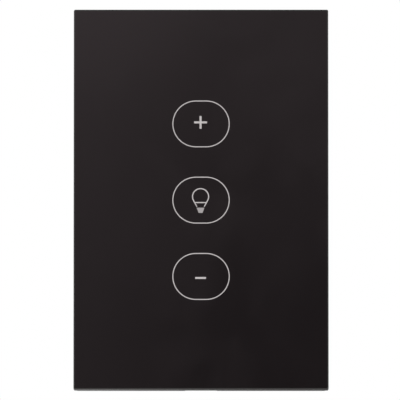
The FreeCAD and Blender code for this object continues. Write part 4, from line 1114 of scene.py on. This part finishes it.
        # The pale stripe of the sleeve marks the minus lead.
        stripe = Area(Skin("#aeb6c6", 0.3), Vector((across - half, low.y - MM, up)),
                      Vector((across + half, high.y - self.sizes.stripe_end, high.z + MM)))
        self.dress(DippedCoat("shrink_sleeve_" + name, Skin("#1c2a4a", 0.26), area=stripe,
                              thin=Skin("#26365c", 0.32), peel_depth=0.012), name)
        radius = (high.x - low.x) / 2 - self.sizes.sleeve_rim
        middle = np.array((across, high.y, up))
        share = np.linspace(1, 0, 13)[:, None]
        turn = (np.arange(48) / 48 * 2 * np.pi)[None, :]
        away = np.minimum(np.abs(share * np.sin(turn)), np.abs(share * np.cos(turn)))
        groove = np.exp(-(away / self.sizes.vent_width) ** 2) * (share < 0.9)
        top = np.stack((radius * share * np.cos(turn),
                        self.sizes.vent_depth * (1.3 - groove),
                        radius * share * np.sin(turn)), axis=-1)
        top[-1] = (0, self.sizes.vent_depth * 0.3, 0)
        rim = top[:1] * (1, 0, 1)
        Shell().add(np.concatenate((rim * 0, rim, top)) + middle).piece(
            name + "_top", "base", "sink_aluminium",
            WorkedMetal("drawn_can_" + name, Skin("#cfd0d2", 0.3, 1.0),
                        dull=Skin("#b0b1b3", 0.42, 1.0)))

    def wind_choke(self) -> None:
        """Wind enamelled wire round the ring core, over an arc of it.

        Going once round the core's section, the radius from the ring's axis and the depth
        follow a cosine and a sine raised to a small power, so that the wire hugs the section's
        corners; meanwhile the turn about the ring's axis grows evenly.
        """
        sizes = self.sizes
        low, high = (np.array(corner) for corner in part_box("choke_core"))
        middle = (low + high) / 2
        outer = (high[0] - low[0]) / 2
        inner = outer / 2
        half_radial = (outer - inner) / 2 + sizes.wire / 2
        half_deep = (high[1] - low[1]) / 2 + sizes.wire / 2
        steps = sizes.turns * sizes.points_per_turn * 8
        progress = np.linspace(0, 1, steps)
        lap = progress * sizes.turns * 2 * np.pi - np.pi / 2
        ring = np.radians(180 - sizes.arc / 2 + progress * sizes.arc + 180)
        radius = (outer + inner) / 2 + half_radial * squared_off(np.cos(lap),
                                                                 sizes.corner_power)
        deep = half_deep * squared_off(np.sin(lap), sizes.corner_power)
        path = middle + np.stack((radius * np.cos(ring), deep, radius * np.sin(ring)), axis=1)
        path = resample(path, sizes.turns * sizes.points_per_turn)
        centre_line = middle + np.stack((np.cos(ring), ring * 0, np.sin(ring)),
                                        axis=1) * (outer + inner) / 2
        centre_line = resample(centre_line, len(path))
        shell = Shell().add(sweep(path, path - centre_line, sizes.wire / 2, sizes.wire / 2, 10))
        winding = shell.piece("choke_wire", "base", "copper_wire",
                              DippedCoat("enamelled_copper", Skin("#b5612e", 0.22, 0.85),
                                         thin=Skin("#c9763f", 0.28, 0.85), peel_mm=0.5,
                                         peel_depth=0.008))
        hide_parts("choke_winding")

    def make_joints(self) -> None:
        """Solder joints on the room side of the board, at both ends of each part's foot."""
        shell = Shell()
        for name in ("film_capacitor", "varistor", "fuse", "bulk_capacitor",
                     "filter_capacitor", "transformer_base", "choke_core"):
            low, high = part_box(name)
            middle, half = (low + high) / 2, (high - low) / 2
            for side in (-1, 1):
                across = middle.x + side * half.x * self.sizes.joint_share
                shell.add(solder_joint(np.array((across, self.front, middle.z)),
                                       self.sizes.joint_rise, self.sizes.joint_radius))
        shell.piece("board_joints", "base", "shield_tin", SOLDER)


class Terminals(SubAssembly):
    """The clamp terminals: the moulded block, its cages, contact bars and screws."""

    FINISHES = (
        # Grey polyamide: satin, with slow clouds where the melt flowed.
        (MouldedPlastic("moulded_polyamide_grey", Skin("#8d9193", 0.46), 1.53,
                        flow=Skin("#818587", 0.52)), ("terminal_block",)),
        # Tinned brass: pale gold that shows where the tin is thin.
        (WorkedMetal("tinned_brass", Skin("#cdb37c", 0.3, 1.0), along=Axis.UP,
                     dull=Skin("#a99365", 0.42, 1.0)), each("terminal_contact", POLES)),
        # Yellow-passivated zinc on steel: silver with a straw tint.
        (WorkedMetal("yellow_zinc_steel", Skin("#c8bd92", 0.32, 1.0), along=Axis.UP,
                     dull=Skin("#a89f7c", 0.44, 1.0)), each("terminal_cage", POLES)),
        # Bright zinc on turned steel: bluish silver.
        (WorkedMetal("zinc_plate_clamp_screws", Skin("#c0c3c5", 0.26, 1.0),
                     along=Axis.INTO_WALL), each("terminal_screw", POLES)))


@dataclass(frozen=True)
class Ramp:
    """A soft step of light along one axis of the direction, or alike on both its sides."""

    axis: Axis
    start: float
    end: float
    low: float
    high: float
    both_sides: bool = False


@dataclass
class Studio:
    """The floor, the light and the camera, in metres, degrees and watts."""

    floor_half: float = 0.7
    floor_height: float = -0.2
    camera_distance: float = 4.0
    camera_slope: float = 6.5
    view_width: float = 0.12558
    aim: tuple[float, float, float] = (-0.000324, -0.011, -0.000262)
    sensor: float = 36.0
    lamps: tuple[tuple[str, tuple[float, float, float], float, float], ...] = (
        ("key", (-0.9, -1.1, 1.0), 0.8, 8.0), ("fill", (1.1, -0.9, 0.5), 0.7, 4.0),
        ("rear_key", (-0.8, 1.3, 0.9), 0.8, 7.0), ("rear_fill", (1.2, 1.0, 0.4), 0.7, 3.5))
    # Light that grows upwards, more on the left, paper on either side, a dark ceiling, and
    # the sheet that hangs at the upper left, which is the product of two ramps.
    room: tuple[tuple[Ramp, ...], ...] = (
        (Ramp(Axis.UP, 0.094, 0.17, 0.13, 0.9),),
        (Ramp(Axis.ACROSS, 0.004, -0.013, 0.0, 0.2),),
        (Ramp(Axis.ACROSS, 0.75, 0.95, 0.0, 0.6, both_sides=True),),
        (Ramp(Axis.UP, 0.7, 0.97, 0.0, -0.6),),
        (Ramp(Axis.ACROSS, -0.0002, -0.0016, 0.0, 0.11),
         Ramp(Axis.UP, 0.1225, 0.1255, 0.0, 1.0)))

    def build(self) -> None:
        """Set up the whole studio."""
        scene = bpy.context.scene
        scene.view_settings.view_transform = "Standard"
        self.make_floor()
        self.make_world()
        self.make_lamps()
        self.make_camera()
        log.info("set up the studio with %d lamps", len(self.lamps))

    def make_floor(self) -> None:
        """A pale floor that is seen only from above."""
        half, height = self.floor_half, self.floor_height
        mesh = bpy.data.meshes.new("floor")
        mesh.from_pydata([(-half, -half, height), (half, -half, height), (half, half, height),
                          (-half, half, height)], [], [(0, 1, 2, 3)])
        floor = bpy.data.objects.new("floor", mesh)
        bpy.context.scene.collection.objects.link(floor)
        material = bpy.data.materials.new("matt_white_sheet")
        material.use_nodes = True
        tree = material.node_tree
        tree.nodes.clear()
        sheet = add_node(tree, "ShaderNodeBsdfPrincipled",
                         {"Base Color": linear("#f4f3f1"), "Roughness": 0.9})
        clear = add_node(tree, "ShaderNodeBsdfTransparent")
        side = add_node(tree, "ShaderNodeNewGeometry").outputs["Backfacing"]
        both = add_node(tree, "ShaderNodeMixShader",
                        links={0: side, 1: sheet.outputs[0], 2: clear.outputs[0]})
        add_node(tree, "ShaderNodeOutputMaterial", links={"Surface": both.outputs[0]})
        mesh.materials.append(material)

    def make_world(self) -> None:
        """White for the camera; for light and mirrors a room that is dim below.

        The light of the room is a sum of ramps and of one product of two ramps, whose edges
        the glass mirrors.
        """
        world = bpy.data.worlds.new("studio_room")
        bpy.context.scene.world = world
        world.use_nodes = True
        tree = world.node_tree
        tree.nodes.clear()
        direction = add_node(tree, "ShaderNodeTexCoord").outputs["Generated"]
        parts = add_node(tree, "ShaderNodeSeparateXYZ", links={0: direction}).outputs
        aside = add_node(tree, "ShaderNodeMath", {"operation": "ABSOLUTE"}, {0: parts[0]})
        total = None
        for ramps in self.room:
            links = {2: total} if total else {}
            for slot, ramp in enumerate(ramps):
                source = aside.outputs[0] if ramp.both_sides else parts[ramp.axis.value]
                links[slot] = add_node(tree, "ShaderNodeMapRange",
                                       {"interpolation_type": "SMOOTHSTEP",
                                        "From Min": ramp.start, "From Max": ramp.end,
                                        "To Min": ramp.low, "To Max": ramp.high},
                                       {"Value": source}).outputs[0]
            total = add_node(tree, "ShaderNodeMath",
                             {"operation": "MULTIPLY_ADD", 1: 1.0, 2: 0.0}, links).outputs[0]
        rays = add_node(tree, "ShaderNodeLightPath").outputs
        seen = add_node(tree, "ShaderNodeMath", {"operation": "MAXIMUM"},
                        {0: rays["Is Camera Ray"], 1: rays["Is Transmission Ray"]})
        level = add_node(tree, "ShaderNodeMix", {"data_type": "FLOAT", 3: 1.0},
                         {0: seen.outputs[0], 2: total})
        back = add_node(tree, "ShaderNodeBackground", {"Color": (1, 1, 1, 1)},
                        {"Strength": level.outputs[0]})
        add_node(tree, "ShaderNodeOutputWorld", links={"Surface": back.outputs[0]})

    def make_lamps(self) -> None:
        """Soft square lamps that face the switch from both sides, in front and behind."""
        for name, place, size, power in self.lamps:
            light = bpy.data.lights.new(name, "AREA")
            light.energy = power
            light.size = size
            lamp = bpy.data.objects.new(name, light)
            lamp.location = place
            lamp.rotation_mode = "QUATERNION"
            lamp.rotation_quaternion = (-Vector(place)).to_track_quat("-Z", "Y")
            bpy.context.scene.collection.objects.link(lamp)

    def make_camera(self) -> None:
        """The photograph's view: square on, a little from below, with a long lens."""
        slope = math.radians(self.camera_slope)
        aim = Vector(self.aim)
        towards = Vector((0, math.cos(slope), math.sin(slope)))
        lens = bpy.data.cameras.new("camera")
        lens.sensor_width = self.sensor
        lens.lens = self.sensor * self.camera_distance / self.view_width
        camera = bpy.data.objects.new("camera", lens)
        camera.location = aim - towards * self.camera_distance
        camera.rotation_mode = "QUATERNION"
        camera.rotation_quaternion = towards.to_track_quat("-Z", "Y")
        bpy.context.scene.collection.objects.link(camera)
        bpy.context.scene.camera = camera


def corners(box: tuple[Vector, Vector]) -> list[list[float]]:
    """A box's two corners as plain lists."""
    return [list(corner) for corner in box]


def main() -> None:
    """Build the switch around its frame."""
    logging.basicConfig(level=logging.INFO, format="%(name)s: %(message)s")
    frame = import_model()
    for part in (FrontPlate, TouchBoard, Housing, PowerBoard, Terminals):
        part(frame).build()
    Studio().build()


if __name__ == "__main__":
    main()
